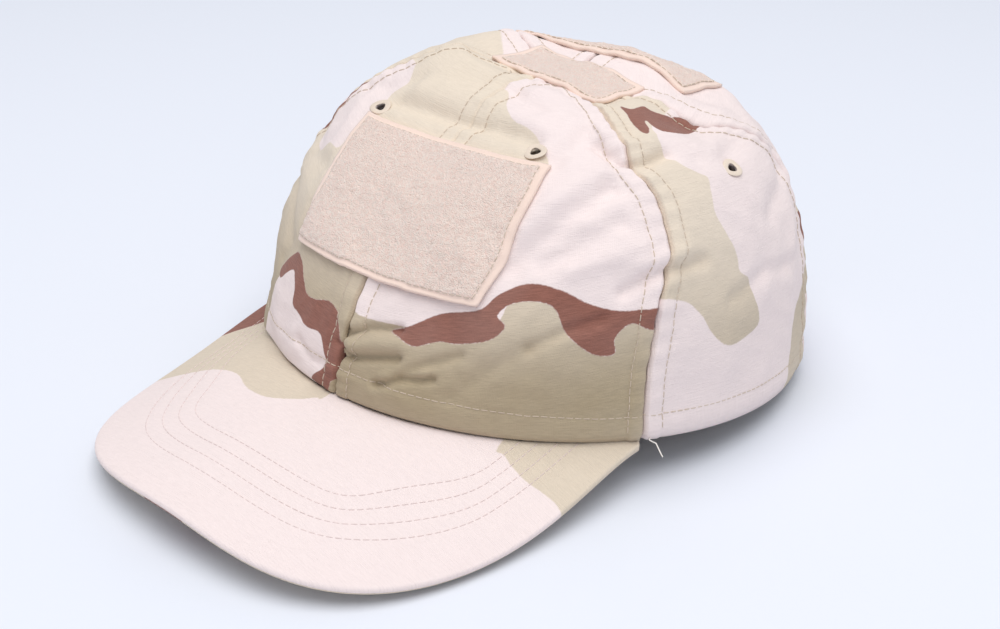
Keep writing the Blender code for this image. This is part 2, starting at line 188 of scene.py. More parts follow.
def squareness(angle):
    end = np.where(np.cos(angle) > 0, crown["frontSquareness"], crown["rearSquareness"])
    return mix(end, crown["sideSquareness"], np.sin(angle) ** 2)


def reachLeft(angle, climb):
    return np.maximum(0.0, np.cos(climb * math.pi / 2)) ** (2 / squareness(angle))


def climbAtReach(angle, share):
    return np.arccos(np.clip(share, 0, 1) ** (squareness(angle) / 2)) * 2 / math.pi


def climbAtHeight(angle, height):
    low = edgeHeight(angle)
    share = np.clip((height - low) / (crown["height"] - low), 0.0, 1.0)
    return np.arcsin(share ** (squareness(angle) / 2)) * 2 / math.pi


def bareCrown(angle, climb):
    left = reachLeft(angle, climb)
    rise = np.sin(np.maximum(0.0, climb) * math.pi / 2) ** (2 / squareness(angle))
    depth = np.where(np.cos(angle) > 0, crown["frontReach"], crown["rearReach"])
    x = crown["halfWidth"] * np.sin(angle) * left
    y = crown["apexBack"] * (1 - left) - depth * np.cos(angle) * left
    z = mix(edgeHeight(angle), crown["height"], rise)
    out = (x / crown["bowlHalfWidth"]) ** 2 + ((y - crown["apexBack"]) / crown["bowlHalfLength"]) ** 2
    bowl = crown["bowlHeight"] + crown["bowlRise"] * out**2
    share = np.clip(0.5 + (bowl - z) / (2 * crown["bowlBlend"]), 0.0, 1.0)
    z = mix(bowl, z, share) - crown["bowlBlend"] * share * (1 - share)
    return np.stack([x, y + crown["centreBack"], z], axis=-1)


def slopeNormal(surface, angle, climb, step=0.002):
    roundIt = surface(angle + step, climb) - surface(angle - step, climb)
    upIt = surface(angle, np.minimum(1.0, climb + step)) - surface(angle, np.maximum(0.0, climb - step))
    return unit(np.cross(roundIt, upIt))


def pathDistance(points, path):
    best = np.full(len(points), 1e9)
    for start, end in zip(path, path[1:]):
        along = end - start
        share = np.clip(((points - start) @ along) / (along @ along), 0, 1)
        best = np.minimum(best, np.linalg.norm(points - start - share[:, None] * along, axis=1))
    return best


def ripple(points):
    # soft swells with sharper creases between them, bent so that none runs straight
    bent = points + ripples["bend"] * np.sin(points[:, [1, 2, 0]] * (2 * math.pi / 0.041) + 0.7)
    total = np.zeros(len(points))
    for turn in range(12):
        size, weight = ((ripples["long"], 1.0), (ripples["middle"], 0.6), (ripples["short"], 0.3))[turn % 3]
        way = unit(np.array([math.cos(2.4 * turn), math.sin(2.4 * turn), 1.3 * math.cos(1.7 * turn + 0.5)]))
        phase = bent @ way * (math.pi / size) + 1.9 * turn
        total += weight * (0.62 - np.abs(np.sin(phase)) ** 0.9)
    return total


def foldPaths(rows, strength):
    # the rows' paths on the crown, with their sizes in metres
    made = []
    for path, wide, high in rows:
        degrees, climb = np.array(path).T
        made.append((bareCrown(np.radians(degrees), climb), wide / 1000, strength * high / 1000))
    return made


foldsMade, swellsMade = foldPaths(folds, foldStrength), foldPaths(swells, 1.0)


def seamDistance(angle, climb):
    turned = np.abs((angle + math.pi) % (2 * math.pi) - math.pi)
    nearest = np.full(np.shape(turned), 9.0)
    for seam in (0.0, seams["side"], seams["back"], math.pi):
        nearest = np.minimum(nearest, np.abs(turned - seam))
    return nearest * crown["halfWidth"] * reachLeft(angle, climb)


def sewnAngle(angle, climb):
    # The seams wander a little. On the wearer's left, the rear one leans forwards near the top, and
    # the side one bows back in its middle and leans forwards at its foot.
    side, back = seams["side"], seams["back"]
    share = np.minimum((angle - side) / (back - side), (math.pi - angle) / (math.pi - back))
    lean = seams["lean"] * smooth(seams["leanFrom"], seams["leanFull"], climb) * np.clip(share, 0, 1)
    share = np.minimum(angle / side, (back - angle) / (back - side))
    bend = seams["bow"] * np.exp(-(((climb - seams["bowMiddle"]) / seams["bowSpread"]) ** 2))
    foot = seams["footLean"] * (1 - smooth(0.0, seams["footTop"], climb))
    lean = lean + (foot - bend) * np.clip(share, 0, 1)
    wander = seams["wander"] * np.sin(37 * climb + 2 * angle) * smooth(0.05, 0.2, climb)
    return angle - lean + wander


def softCrown(angle, climb):
    return softSurface(sewnAngle(np.asarray(angle, float), np.asarray(climb, float)), climb)


def softSurface(angle, climb):
    # the crown with its folds and its slumped top, before any sewing
    angle, climb = np.broadcast_arrays(np.asarray(angle, float), np.asarray(climb, float))
    shape = angle.shape
    angle, climb = angle.ravel(), climb.ravel()
    points = bareCrown(angle, climb)
    up = slopeNormal(bareCrown, angle, climb)
    out = ripples["amount"] * ripple(points)
    for path, wide, high in foldsMade:
        out = out + high * np.exp(-((pathDistance(points, path) / wide) ** 2))
    swell = np.zeros(len(points))
    for path, wide, high in swellsMade:
        swell += high * np.exp(-((pathDistance(points, path) / wide) ** 2))
    drop = np.zeros(len(points))
    for (x, y), (wideX, wideY), high in slumps:
        acrossX = (points[:, 0] - x / 1000) / (wideX / 1000)
        acrossY = (points[:, 1] - crown["centreBack"] - y / 1000) / (wideY / 1000)
        drop += high / 1000 * np.exp(-(acrossX**2) - acrossY**2)
    acting = smooth(*slumpBand, points[:, 2])
    points = points + up * (out * smooth(0.0, foldFoot, climb) + swell)[:, None]
    points[:, 2] += drop * acting
    return points.reshape(*shape, 3)


def onCrown(angle, climb, out=0.0):
    points = softCrown(angle, climb)
    return points + slopeNormal(softCrown, angle, climb) * np.asarray(out)[..., None]


def newMesh(name, shape, finish):
    mesh = bpy.data.meshes.new(name)
    shape.to_mesh(mesh)
    shape.free()
    mesh.shade_smooth()
    mesh.materials.append(finish)
    made = bpy.data.objects.new(name, mesh)
    bpy.context.scene.collection.objects.link(made)
    return made


def gridShape(columns, rows):
    # a flat grid; its vertices' own places from 0 to 1 come with it
    shape = bmesh.new()
    bmesh.ops.create_grid(shape, x_segments=columns, y_segments=rows, size=0.5)
    flat = np.array([v.co[:2] for v in shape.verts]) + 0.5
    return shape, flat[:, 0], flat[:, 1]


def setPlaces(shape, points):
    for vert, point in zip(shape.verts, points):
        vert.co = point


def clothGrid(name, place, columns, rows, finish, thickness=0.0, flatSize=None, paint=None, after=None):
    # place(u, v) gives points; flatSize(u, v) the cloth's own flat measure; paint the printed pattern
    shape, u, v = gridShape(columns, rows)
    setPlaces(shape, place(u, v))
    uvLayer = shape.loops.layers.uv.new("cloth")
    flat = np.stack(flatSize(u, v), axis=-1) if flatSize else np.stack([u * 0.1, v * 0.1], axis=-1)
    for face in shape.faces:
        for loop in face.loops:
            loop[uvLayer].uv = flat[loop.vert.index]
    if paint:
        for label, values in paint(u, v).items():
            layer = shape.verts.layers.float.new(label)
            for vert in shape.verts:
                vert[layer] = values[vert.index]
    if after:
        after(shape)
    made = newMesh(name, shape, finish)
    if thickness:
        wall = made.modifiers.new("thickness", "SOLIDIFY")
        wall.thickness = thickness
        wall.offset = -1.0
        wall.use_quality_normals = True
    return made


# Cloth print: each shape is a colour and an outline, in degrees round and climb, and later ones
# are printed over earlier ones.
prints = {
    "front_panel_left": ("sand", [
        ("khaki", [(-12, -0.15), (-12, 0.235), (2, 0.240), (11, 0.241), (19, 0.238), (28, 0.235),
                   (32, 0.240), (34, 0.262), (34.5, 0.300), (39, 0.306), (44, 0.285), (49, 0.200),
                   (54, 0.175), (57, 0.213), (61, 0.215), (66, 0.185), (72, 0.18), (78, -0.15),
                   (55, -0.15), (32, -0.15), (10, -0.15)]),
        ("brown", [(10, 0.228), (15, 0.243), (21, 0.273), (29, 0.279), (32, 0.309), (37, 0.326),
                   (44, 0.301), (50, 0.263), (56, 0.236), (62, 0.225), (70, 0.210), (70, 0.160),
                   (63, 0.181), (59, 0.203), (56, 0.180), (56.5, 0.148), (52, 0.159), (47, 0.205),
                   (44, 0.262), (40, 0.285),
                   (35, 0.287), (33, 0.265), (35, 0.240), (32, 0.215), (26, 0.210), (22, 0.215), (17, 0.201),
                   (13.5, 0.215)]),
        ("khaki", [(-12, 0.55), (10, 0.57), (40, 0.585), (38, 0.655), (34, 0.682), (26, 0.697), (18, 0.728),
                   (8, 0.772), (2, 0.780), (-4, 0.80), (6, 0.84), (-12, 0.90)]),
    ]),
    "front_panel_right": ("khaki", [
        ("sand", [(-37, 0.48), (-38, 0.53), (-38, 0.59), (-44, 0.65), (-47, 0.70), (-58, 0.735), (-66, 0.70),
                  (-63, 0.60), (-60, 0.48), (-56, 0.40), (-49, 0.41), (-44, 0.46)]),
        ("sand", [(-27, 0.235), (-22, 0.225), (-20, 0.19), (-15, 0.18), (-11, 0.17), (-6, 0.18), (-3, 0.12),
                  (-3, 0.06), (-5, -0.12), (-18, -0.14), (-31, -0.12), (-33, 0.06), (-30, 0.17)]),
        ("brown", [(-27, 0.255), (-23, 0.258), (-20, 0.238), (-17, 0.214), (-13, 0.218), (-8, 0.236),
                   (-4, 0.225), (-2, 0.190), (1, 0.140), (2, 0.09), (-1, 0.05), (-2, -0.02), (-6, 0.0),
                   (-7, 0.03), (-4.5, 0.07), (-4, 0.10), (-6, 0.142), (-8, 0.158), (-12, 0.150),
                   (-16, 0.158), (-20, 0.165), (-21.5, 0.20), (-25, 0.222), (-29, 0.17), (-31, 0.19)]),
        ("brown", [(-66, 0.62), (-61, 0.55), (-60, 0.47), (-62, 0.39), (-68, 0.33), (-74, 0.40),
                   (-70, 0.52)]),
    ]),
    "side_panel_left": ("sand", [
        ("khaki", [(50, 0.99), (124, 0.99), (124, 0.80), (108, 0.77), (98, 0.74), (88, 0.715), (82, 0.69),
                   (80.5, 0.665), (78, 0.64), (77.5, 0.60), (78, 0.545), (80, 0.51), (81, 0.49), (79, 0.455),
                   (78, 0.42), (78, 0.39), (80, 0.33), (83, 0.27), (84, 0.24), (87.5, 0.213), (88.5, 0.17),
                   (90, 0.118), (86, 0.104), (81, 0.104), (77, 0.135), (74, 0.18), (71, 0.212), (66, 0.235),
                   (55, 0.26), (50, 0.50)]),
        ("brown", [(79, 0.810), (83.4, 0.790), (90, 0.795), (95.8, 0.800), (99, 0.783), (110, 0.758),
                   (120, 0.730), (120, 0.685), (112, 0.685), (100, 0.672), (91, 0.660), (85.5, 0.668),
                   (84, 0.690), (85, 0.725), (83, 0.723), (80.5, 0.690), (77, 0.672), (75.5, 0.690),
                   (75.5, 0.727), (77, 0.760)]),
        ("khaki", [(104, -0.12), (106, 0.06), (112, 0.12), (122, 0.16), (126, -0.12)]),
    ]),
    "side_panel_right": ("sand", [
        ("khaki", [(-58, 0.86), (-60, 0.60), (-66, 0.52), (-74, 0.55), (-84, 0.60), (-96, 0.58), (-104, 0.64),
                   (-112, 0.74), (-100, 0.88), (-80, 0.92)]),
        ("brown", [(-60, 0.46), (-68, 0.44), (-78, 0.45), (-86, 0.50), (-94, 0.50), (-98, 0.44), (-92, 0.40),
                   (-84, 0.42), (-76, 0.37), (-66, 0.36), (-60, 0.38)]),
        ("khaki", [(-82, -0.12), (-84, 0.08), (-92, 0.16), (-102, 0.15), (-108, 0.22), (-122, 0.26),
                   (-124, -0.12), (-103, -0.14)]),
    ]),
    "back_panel_left": ("sand", [
        ("khaki", [(112, 0.30), (124, 0.33), (133, 0.42), (142, 0.44), (150, 0.52), (162, 0.55), (172, 0.62),
                   (186, 0.62), (186, 0.40), (140, 0.20), (126, 0.10), (112, 0.12)]),
        ("brown", [(118, 0.20), (126, 0.24), (132, 0.32), (140, 0.35), (148, 0.43), (158, 0.45), (164, 0.50),
                   (157, 0.50), (146, 0.48), (138, 0.42), (130, 0.38), (124, 0.30), (116, 0.26)]),
    ]),
    "back_panel_right": ("khaki", [
        ("sand", [(-112, 0.52), (-124, 0.50), (-134, 0.56), (-146, 0.54), (-156, 0.60), (-168, 0.58),
                  (-186, 0.64), (-186, 0.90), (-112, 0.90)]),
        ("brown", [(-184, 0.56), (-172, 0.52), (-162, 0.53), (-152, 0.49), (-146, 0.41), (-136, 0.40),
                   (-130, 0.33), (-124, 0.34), (-128, 0.43), (-138, 0.47), (-144, 0.52), (-156, 0.57),
                   (-170, 0.58), (-184, 0.61)]),
        ("sand", [(-112, 0.22), (-122, 0.20), (-130, 0.14), (-138, 0.05), (-136, -0.05), (-112, -0.05)]),
    ]),
}
# On the visor the outlines are across and back, in millimetres in the cap's own frame.
visorPrint = ("sand", [
    ("khaki", [(-95, -88), (-80, -86), (-73, -81.5), (-63, -77.5), (-54, -75), (-45, -74.5), (-38, -76),
               (-32, -79), (-26, -80.5), (-18, -80.5), (-10, -77), (-4, -72), (-2, -66), (-6, 0), (-95, 0)]),
    ("brown", [(-95, -50), (-84, -53), (-76, -49), (-66, -43.5), (-58, -36), (-60, 0), (-95, 0)]),
    ("khaki", [(54, -48), (58, -52), (67, -53.5), (78, -52), (95, -53), (95, 0), (52, 0)]),
])
underPrint = ("khaki", [
    ("sand", [(-95, -140), (-70, -118), (-52, -112), (-40, -96), (-22, -92), (-12, -76), (4, -70), (2, -50),
              (-30, -40), (-95, -40)]),
    ("brown", [(-12, -140), (-6, -122), (6, -112), (20, -112), (28, -98), (44, -92), (52, -78), (66, -74),
               (62, -84), (50, -94), (36, -106), (26, -122), (12, -122), (4, -140)]),
])
backStrapPrint = ("khaki", [
    ("brown", [(-44, -4), (-30, 2), (-24, 10), (-12, 12), (-6, 24), (-14, 20), (-26, 17), (-34, 9),
               (-46, 4)]),
])


def roundedOutline(points, steps=5):
    # a closed Catmull-Rom curve through the points
    points = np.asarray(points, float)
    before, after, beyond = np.roll(points, 1, 0), np.roll(points, -1, 0), np.roll(points, -2, 0)
    rows = []
    for step in range(steps):
        t = step / steps
        rows.append(
            0.5 * (2 * points + (after - before) * t + (2 * before - 5 * points + 4 * after - beyond) * t**2
                   + (3 * points - before - 3 * after + beyond) * t**3)
        )
    return np.stack(rows, axis=1).reshape(-1, 2)


def insideBy(points, outline):
    # distance inside the outline, negative outside
    ends = np.roll(outline, -1, 0)
    best = np.full(len(points), 1e9)
    inside = np.zeros(len(points), bool)
    for (x0, y0), (x1, y1) in zip(outline, ends):
        dx, dy = x1 - x0, y1 - y0
        share = ((points[:, 0] - x0) * dx + (points[:, 1] - y0) * dy) / (dx * dx + dy * dy + 1e-15)
        share = np.clip(share, 0, 1)
        best = np.minimum(best, np.hypot(points[:, 0] - x0 - share * dx, points[:, 1] - y0 - share * dy))
        crossing = (y0 > points[:, 1]) != (y1 > points[:, 1])
        rise = dy if abs(dy) > 1e-12 else 1e-12
        inside ^= crossing & (points[:, 0] < dx * (points[:, 1] - y0) / rise + x0)
    return np.where(inside, best, -best)


def goreMap(angle, climb):
    # the crown laid flat round its apex, in metres
    left = (1 - climb) * crown["gore"]
    return np.stack([left * np.sin(angle), -left * np.cos(angle)], axis=-1)


def paintedLightShare(points, low, high):
    # painted light on the khaki: darker low on the walls, which face away from the light, lighter towards the
    # top, where the light falls full, and painted lighter again along the hem against the shade there
    hem = 0.20 * (1 - smooth(0.004, 0.034, points[:, 2]))
    return mix(low, 1.0, smooth(0.030, high, points[:, 2])) + hem


def printedFields(ground, shapes, points, mapped):
    khaki = np.full(len(points), 0.02 if ground == "khaki" else -0.02)
    brown = np.full(len(points), -0.02)
    for colour, outline in shapes:
        by = insideBy(points, roundedOutline(mapped(np.array(outline, float))))
        khaki = np.maximum(khaki, by) if colour == "khaki" else np.minimum(khaki, -by)
        brown = np.maximum(brown, by) if colour == "brown" else np.minimum(brown, -by)
    return {"khaki": khaki, "brown": brown}


def crownPrint(name, angle, climb):
    ground, shapes = prints[name]

    def mapped(outline):
        return goreMap(np.radians(outline[:, 0]), outline[:, 1])

    fields = printedFields(ground, shapes, goreMap(angle, climb), mapped)
    # painted shade: the khaki is painted darkest low on the front walls and less so towards the sides
    toSide = smooth(math.radians(60), math.radians(72), np.abs(angle))
    fields["faded"] = paintedLightShare(bareCrown(angle, climb), mix(0.04, 0.45, toSide), 0.082)
    return fields


def planPrint(prints, points):
    ground, shapes = prints
    fields = printedFields(ground, shapes, points[:, :2], lambda outline: outline / 1000)
    # painted light: the khaki on the visor and straps is painted 0.80 of the way to its lit shade, all over
    fields["faded"] = np.full(len(points), 0.80)
    return fields


# Finishes.
colours = {
    "sand": (0.905, 0.778, 0.750),
    "khaki": (0.440, 0.350, 0.222),
    # painted light: the print's khaki as it looks in full light; the khaki above is its painted-shade end
    "paintedLitKhaki": (0.800, 0.690, 0.560),
    "brown": (0.285, 0.120, 0.088),
    "thread": (0.640, 0.530, 0.420),
    "rowThread": (0.800, 0.670, 0.640),
    "eyelet": (0.790, 0.670, 0.550),
    "pile": (0.990, 0.745, 0.640),
    "paleFibre": (0.995, 0.890, 0.790),
    "selvage": (0.880, 0.690, 0.590),
    "darkFibre": (0.860, 0.620, 0.520),
    "twill": (0.610, 0.500, 0.360),
    "hooks": (0.560, 0.430, 0.330),
    "label": (0.850, 0.850, 0.820),
    "board": (0.800, 0.800, 0.760),
    "looseThread": (0.90, 0.84, 0.78),
    "worn": (0.86, 0.76, 0.70),
}


def newFinish(name, roughness, sheen=0.0):
    finish = bpy.data.materials.new(name)
    finish.use_nodes = True
    shader = finish.node_tree.nodes["Principled BSDF"]
    shader.inputs["Roughness"].default_value = roughness
    shader.inputs["Specular IOR Level"].default_value = 0.18
    shader.inputs["Sheen Weight"].default_value = sheen
    shader.inputs["Sheen Roughness"].default_value = 0.5
    return finish, finish.node_tree, shader


def addNode(tree, kind, **values):
    node = tree.nodes.new(kind)
    for label, value in values.items():
        if hasattr(node, label):
            setattr(node, label, value)
        else:
            node.inputs[label.replace("_", " ")].default_value = value
    return node


def scaled(tree, source, stretch):
    # the coordinates, stretched by three factors
    node = addNode(tree, "ShaderNodeMapping")
    node.inputs["Scale"].default_value = stretch
    tree.links.new(source, node.inputs["Vector"])
    return node.outputs["Vector"]


def noiseOf(tree, vector, scale, detail=3.0, roughness=0.55):
    node = addNode(tree, "ShaderNodeTexNoise", Scale=scale, Detail=detail, Roughness=roughness)
    tree.links.new(vector, node.inputs["Vector"])
    return node.outputs["Fac"]


def waveOf(tree, vector, scale, direction, distortion=0.6):
    node = addNode(tree, "ShaderNodeTexWave", Scale=scale, Distortion=distortion, Detail=1.0)
    node.wave_type = "BANDS"
    node.bands_direction = direction
    node.inputs["Detail Scale"].default_value = 2.0
    tree.links.new(vector, node.inputs["Vector"])
    return node.outputs["Fac"]


def maths(tree, operation, first, second=None):
    node = addNode(tree, "ShaderNodeMath")
    node.operation = operation
    for socket, value in zip(node.inputs, (first, second)):
        if isinstance(value, (int, float)):
            socket.default_value = value
        elif value is not None:
            tree.links.new(value, socket)
    return node.outputs[0]


def blendColours(tree, share, first, second):
    node = addNode(tree, "ShaderNodeMix")
    node.data_type = "RGBA"
    for socket, value in zip((node.inputs[0], node.inputs[6], node.inputs[7]), (share, first, second)):
        if isinstance(value, tuple):
            socket.default_value = (*value, 1.0)
        elif isinstance(value, float):
            socket.default_value = value
        else:
            tree.links.new(value, socket)
    return node.outputs[2]


def rampOf(tree, value, low, high):
    node = addNode(tree, "ShaderNodeMapRange")
    node.inputs["From Min"].default_value = low
    node.inputs["From Max"].default_value = high
    tree.links.new(value, node.inputs["Value"])
    return node.outputs["Result"]


def bumpOf(tree, shader, height, distance, strength=1.0):
    node = addNode(tree, "ShaderNodeBump")
    node.inputs["Strength"].default_value = strength
    node.inputs["Distance"].default_value = distance
    tree.links.new(height, node.inputs["Height"])
    tree.links.new(node.outputs["Normal"], shader.inputs["Normal"])


weave = {
    "thread": 620,
    "rib": 46,
    "slub": 260,
    "edgeWander": 0.00050,
    "edgeSoft": 0.00022,
    "wear": 0.06,
    "tones": {"sand": (0.93, 1.03), "khaki": (0.80, 1.12), "paintedLitKhaki": (0.90, 1.06),
              "brown": (0.70, 1.36)},  # darkest and palest share of each colour
}


def camoFinish(name):
    finish, tree, shader = newFinish(name, 0.88, 0.12)
    cloth = addNode(tree, "ShaderNodeUVMap", uv_map="cloth").outputs["UV"]
    place = addNode(tree, "ShaderNodeTexCoord").outputs["Object"]
    wander = maths(tree, "SUBTRACT", noiseOf(tree, place, 900, 2.0), 0.5)
    fields = {}
    for label in ("khaki", "brown"):
        field = addNode(tree, "ShaderNodeAttribute", attribute_name=label).outputs["Fac"]
        moved = maths(tree, "ADD", field, maths(tree, "MULTIPLY", wander, weave["edgeWander"]))
        fields[label] = rampOf(tree, moved, -weave["edgeSoft"], weave["edgeSoft"])
    # warp and weft, with the heavier ripstop yarns and uneven slubs
    warp = waveOf(tree, cloth, weave["thread"], "X")
    weft = waveOf(tree, cloth, weave["thread"], "Y")
    ribs = maths(tree, "MAXIMUM", waveOf(tree, cloth, weave["rib"], "X", 0.3),
                 waveOf(tree, cloth, weave["rib"], "Y", 0.3))
    ribs = rampOf(tree, ribs, 0.90, 1.0)
    slubs = noiseOf(tree, scaled(tree, cloth, (1.0, 9.0, 1.0)), weave["slub"], 3.0)
    slubs = rampOf(tree, slubs, 0.35, 0.72)
    fleck = noiseOf(tree, cloth, 2300, 2.0)
    broad = noiseOf(tree, place, 38, 3.0)
    tone = maths(tree, "MULTIPLY", slubs, 0.5)
    tone = maths(tree, "ADD", tone, maths(tree, "MULTIPLY", fleck, 0.5))
    light = {}
    for label, (dark, pale) in weave["tones"].items():
        base = colours[label]
        low = tuple(c * dark for c in base)
        high = tuple(min(1.0, c * pale) for c in base)
        light[label] = blendColours(tree, tone, low, high)
    # painted light and shade: the khaki goes from its shaded to its lit colour by the painted-light share
    faded = addNode(tree, "ShaderNodeAttribute", attribute_name="faded").outputs["Fac"]
    khaki = blendColours(tree, faded, light["khaki"], light["paintedLitKhaki"])
    mixed = blendColours(tree, fields["khaki"], light["sand"], khaki)
    mixed = blendColours(tree, fields["brown"], mixed, light["brown"])
    worn = blendColours(tree, rampOf(tree, broad, 0.35, 0.75), mixed, colours["worn"])
    shade = blendColours(tree, weave["wear"], mixed, worn)
    tree.links.new(shade, shader.inputs["Base Color"])
    height = maths(tree, "ADD", maths(tree, "MULTIPLY", maths(tree, "ADD", warp, weft), 0.30),
                   maths(tree, "MULTIPLY", slubs, 0.8))
    height = maths(tree, "ADD", height, maths(tree, "MULTIPLY", ribs, 0.35))
    bumpOf(tree, shader, height, 0.00010, 0.9)
    return finish


def threadFinish(name, colour):
    finish, tree, shader = newFinish(name, 0.62, 0.15)
    place = addNode(tree, "ShaderNodeTexCoord").outputs["Object"]
    fine = noiseOf(tree, place, 2600, 2.0)
    broad = noiseOf(tree, place, 120, 2.0)
    tone = maths(tree, "MULTIPLY", maths(tree, "ADD", fine, broad), 0.5)
    base = blendColours(tree, tone, tuple(c * 0.80 for c in colour), tuple(min(1, c * 1.15) for c in colour))
    tree.links.new(base, shader.inputs["Base Color"])
    bumpOf(tree, shader, fine, 0.00008, 0.6)
    return finish


def pileFinish(name):
    finish, tree, shader = newFinish(name, 0.95, 0.35)
    place = addNode(tree, "ShaderNodeTexCoord").outputs["Object"]
    speck = noiseOf(tree, place, 2900, 3.0, 0.75)
    clump = noiseOf(tree, place, 900, 3.0, 0.65)
    loops = addNode(tree, "ShaderNodeTexVoronoi", Scale=2200)
    tree.links.new(place, loops.inputs["Vector"])
    tuft = blendColours(tree, 0.55, colours["pile"], colours["paleFibre"])
    base = blendColours(tree, rampOf(tree, clump, 0.38, 0.62), colours["pile"], tuft)
    base = blendColours(tree, rampOf(tree, speck, 0.54, 0.64), base, colours["paleFibre"])
    base = blendColours(tree, rampOf(tree, speck, 0.42, 0.34), base, colours["darkFibre"])
    woven = addNode(tree, "ShaderNodeAttribute", attribute_name="selvage").outputs["Fac"]
    base = blendColours(tree, woven, base, colours["selvage"])
    tree.links.new(base, shader.inputs["Base Color"])
    height = maths(tree, "ADD", maths(tree, "MULTIPLY", loops.outputs["Distance"], -0.9), speck)
    height = maths(tree, "ADD", height, maths(tree, "MULTIPLY", clump, 0.8))
    height = maths(tree, "MULTIPLY", height, maths(tree, "SUBTRACT", 1.12, woven))
    bumpOf(tree, shader, height, 0.00042, 0.9)
    return finish


def twillFinish(name, colour, scale=700):
    finish, tree, shader = newFinish(name, 0.85, 0.1)
    cloth = addNode(tree, "ShaderNodeUVMap", uv_map="cloth").outputs["UV"]
    turned = addNode(tree, "ShaderNodeMapping")
    turned.inputs["Rotation"].default_value = (0, 0, math.radians(52))
    tree.links.new(cloth, turned.inputs["Vector"])
    lines = waveOf(tree, turned.outputs["Vector"], scale, "X", 0.5)
    fleck = noiseOf(tree, cloth, 1800, 3.0)
    tone = maths(tree, "MULTIPLY", maths(tree, "ADD", lines, fleck), 0.5)
    base = blendColours(tree, tone, tuple(c * 0.78 for c in colour), tuple(min(1, c * 1.15) for c in colour))
    tree.links.new(base, shader.inputs["Base Color"])
    bumpOf(tree, shader, tone, 0.00012, 0.8)
    return finish


def plainFinish(name, colour, roughness, scale=400, depth=0.00005):
    finish, tree, shader = newFinish(name, roughness)
    place = addNode(tree, "ShaderNodeTexCoord").outputs["Object"]
    grain = noiseOf(tree, place, scale, 3.0)
    base = blendColours(tree, grain, tuple(c * 0.92 for c in colour), tuple(min(1, c * 1.05) for c in colour))
    tree.links.new(base, shader.inputs["Base Color"])
    bumpOf(tree, shader, grain, depth, 0.5)
    return finish


camo = camoFinish("camoRipstop")
threadTan = threadFinish("tanThread", colours["thread"])
rowThread = threadFinish("rowThread", colours["rowThread"])
eyeletThread = threadFinish("eyeletThread", colours["eyelet"])
looseThread = threadFinish("looseThread", colours["looseThread"])
pile = pileFinish("loopPile")
twill = twillFinish("khakiTwill", colours["twill"])
hookFinish = plainFinish("hookTape", colours["hooks"], 0.55, 900)
boardFinish = plainFinish("visorPlastic", colours["board"], 0.45)
labelFinish = twillFinish("whiteLabel", colours["label"], 1100)
print("finishes made")


# Camera, floor and light.
view = {
    "place": (0.28826, -0.31062, 0.24085),
    "azimuth": 41.956,
    "elevation": 26.899,
    "roll": 0.296,
    "lens": 49.09,
}
studio = {
    "floor": (0.795, 0.818, 0.880),
    "floorSize": 6.0,
    "sky": (0.90, 0.93, 1.0),
    "skyStrength": 0.51,
    "soft": 32.2,
    "fill": 2.2,
}


def setCamera():
    data = bpy.data.cameras.new("camera")
    data.lens = view["lens"]
    data.sensor_width = 36.0
    camera = bpy.data.objects.new("camera", data)
    around, up = math.radians(view["azimuth"]), math.radians(view["elevation"])
    roll = math.radians(view["roll"])
    back = Vector((math.sin(around) * math.cos(up), -math.cos(around) * math.cos(up), math.sin(up)))
    right = Vector((math.cos(around), math.sin(around), 0))
    top = back.cross(right)
    rolledRight = right * math.cos(roll) + top * math.sin(roll)
    rolledTop = top * math.cos(roll) - right * math.sin(roll)
    turn = Matrix((rolledRight, rolledTop, back)).transposed()
    camera.matrix_world = Matrix.Translation(view["place"]) @ turn.to_4x4()
    bpy.context.scene.collection.objects.link(camera)
    bpy.context.scene.camera = camera


def areaLight(name, place, aim, size, power):
    data = bpy.data.lights.new(name, "AREA")
    data.shape = "SQUARE"
    data.size = size
    data.energy = power
    light = bpy.data.objects.new(name, data)
    light.location = place
    light.rotation_euler = (Vector(aim) - Vector(place)).to_track_quat("-Z", "Y").to_euler()
    bpy.context.scene.collection.objects.link(light)


def setStudio():
    bpy.context.scene.view_settings.view_transform = "Standard"
    shape = bmesh.new()
    bmesh.ops.create_grid(shape, x_segments=1, y_segments=1, size=studio["floorSize"])
    finish, _, shader = newFinish("floor", 0.9)
    shader.inputs["Base Color"].default_value = (*studio["floor"], 1.0)
    floor = newMesh("floor", shape, finish)
    world = bpy.data.worlds.new("studio")
    bpy.context.scene.world = world
    world.use_nodes = True
    sky = world.node_tree.nodes["Background"]
    sky.inputs["Color"].default_value = (*studio["sky"], 1.0)
    sky.inputs["Strength"].default_value = studio["skyStrength"]
    areaLight("softbox", (0.20, -0.20, 2.00), (0.0, 0.0, 0.0), 1.9, studio["soft"])
    areaLight("fill", (1.3, -0.9, 0.9), (0.0, 0.0, 0.06), 0.9, studio["fill"])


setCamera()
setStudio()
print("camera and studio set")


# Sewing. A row of stitches is one thread that dips into the cloth at each needle hole.
stitch = {
    "pitch": 0.0026,
    "radius": 0.00017,
    "sides": 5,
    "rings": 6,  # along each stitch
    "dip": 3.4,  # of its radius
    "dipShare": 0.10,
}


def unitAlong(path):
    return unit(np.gradient(path, axis=0))


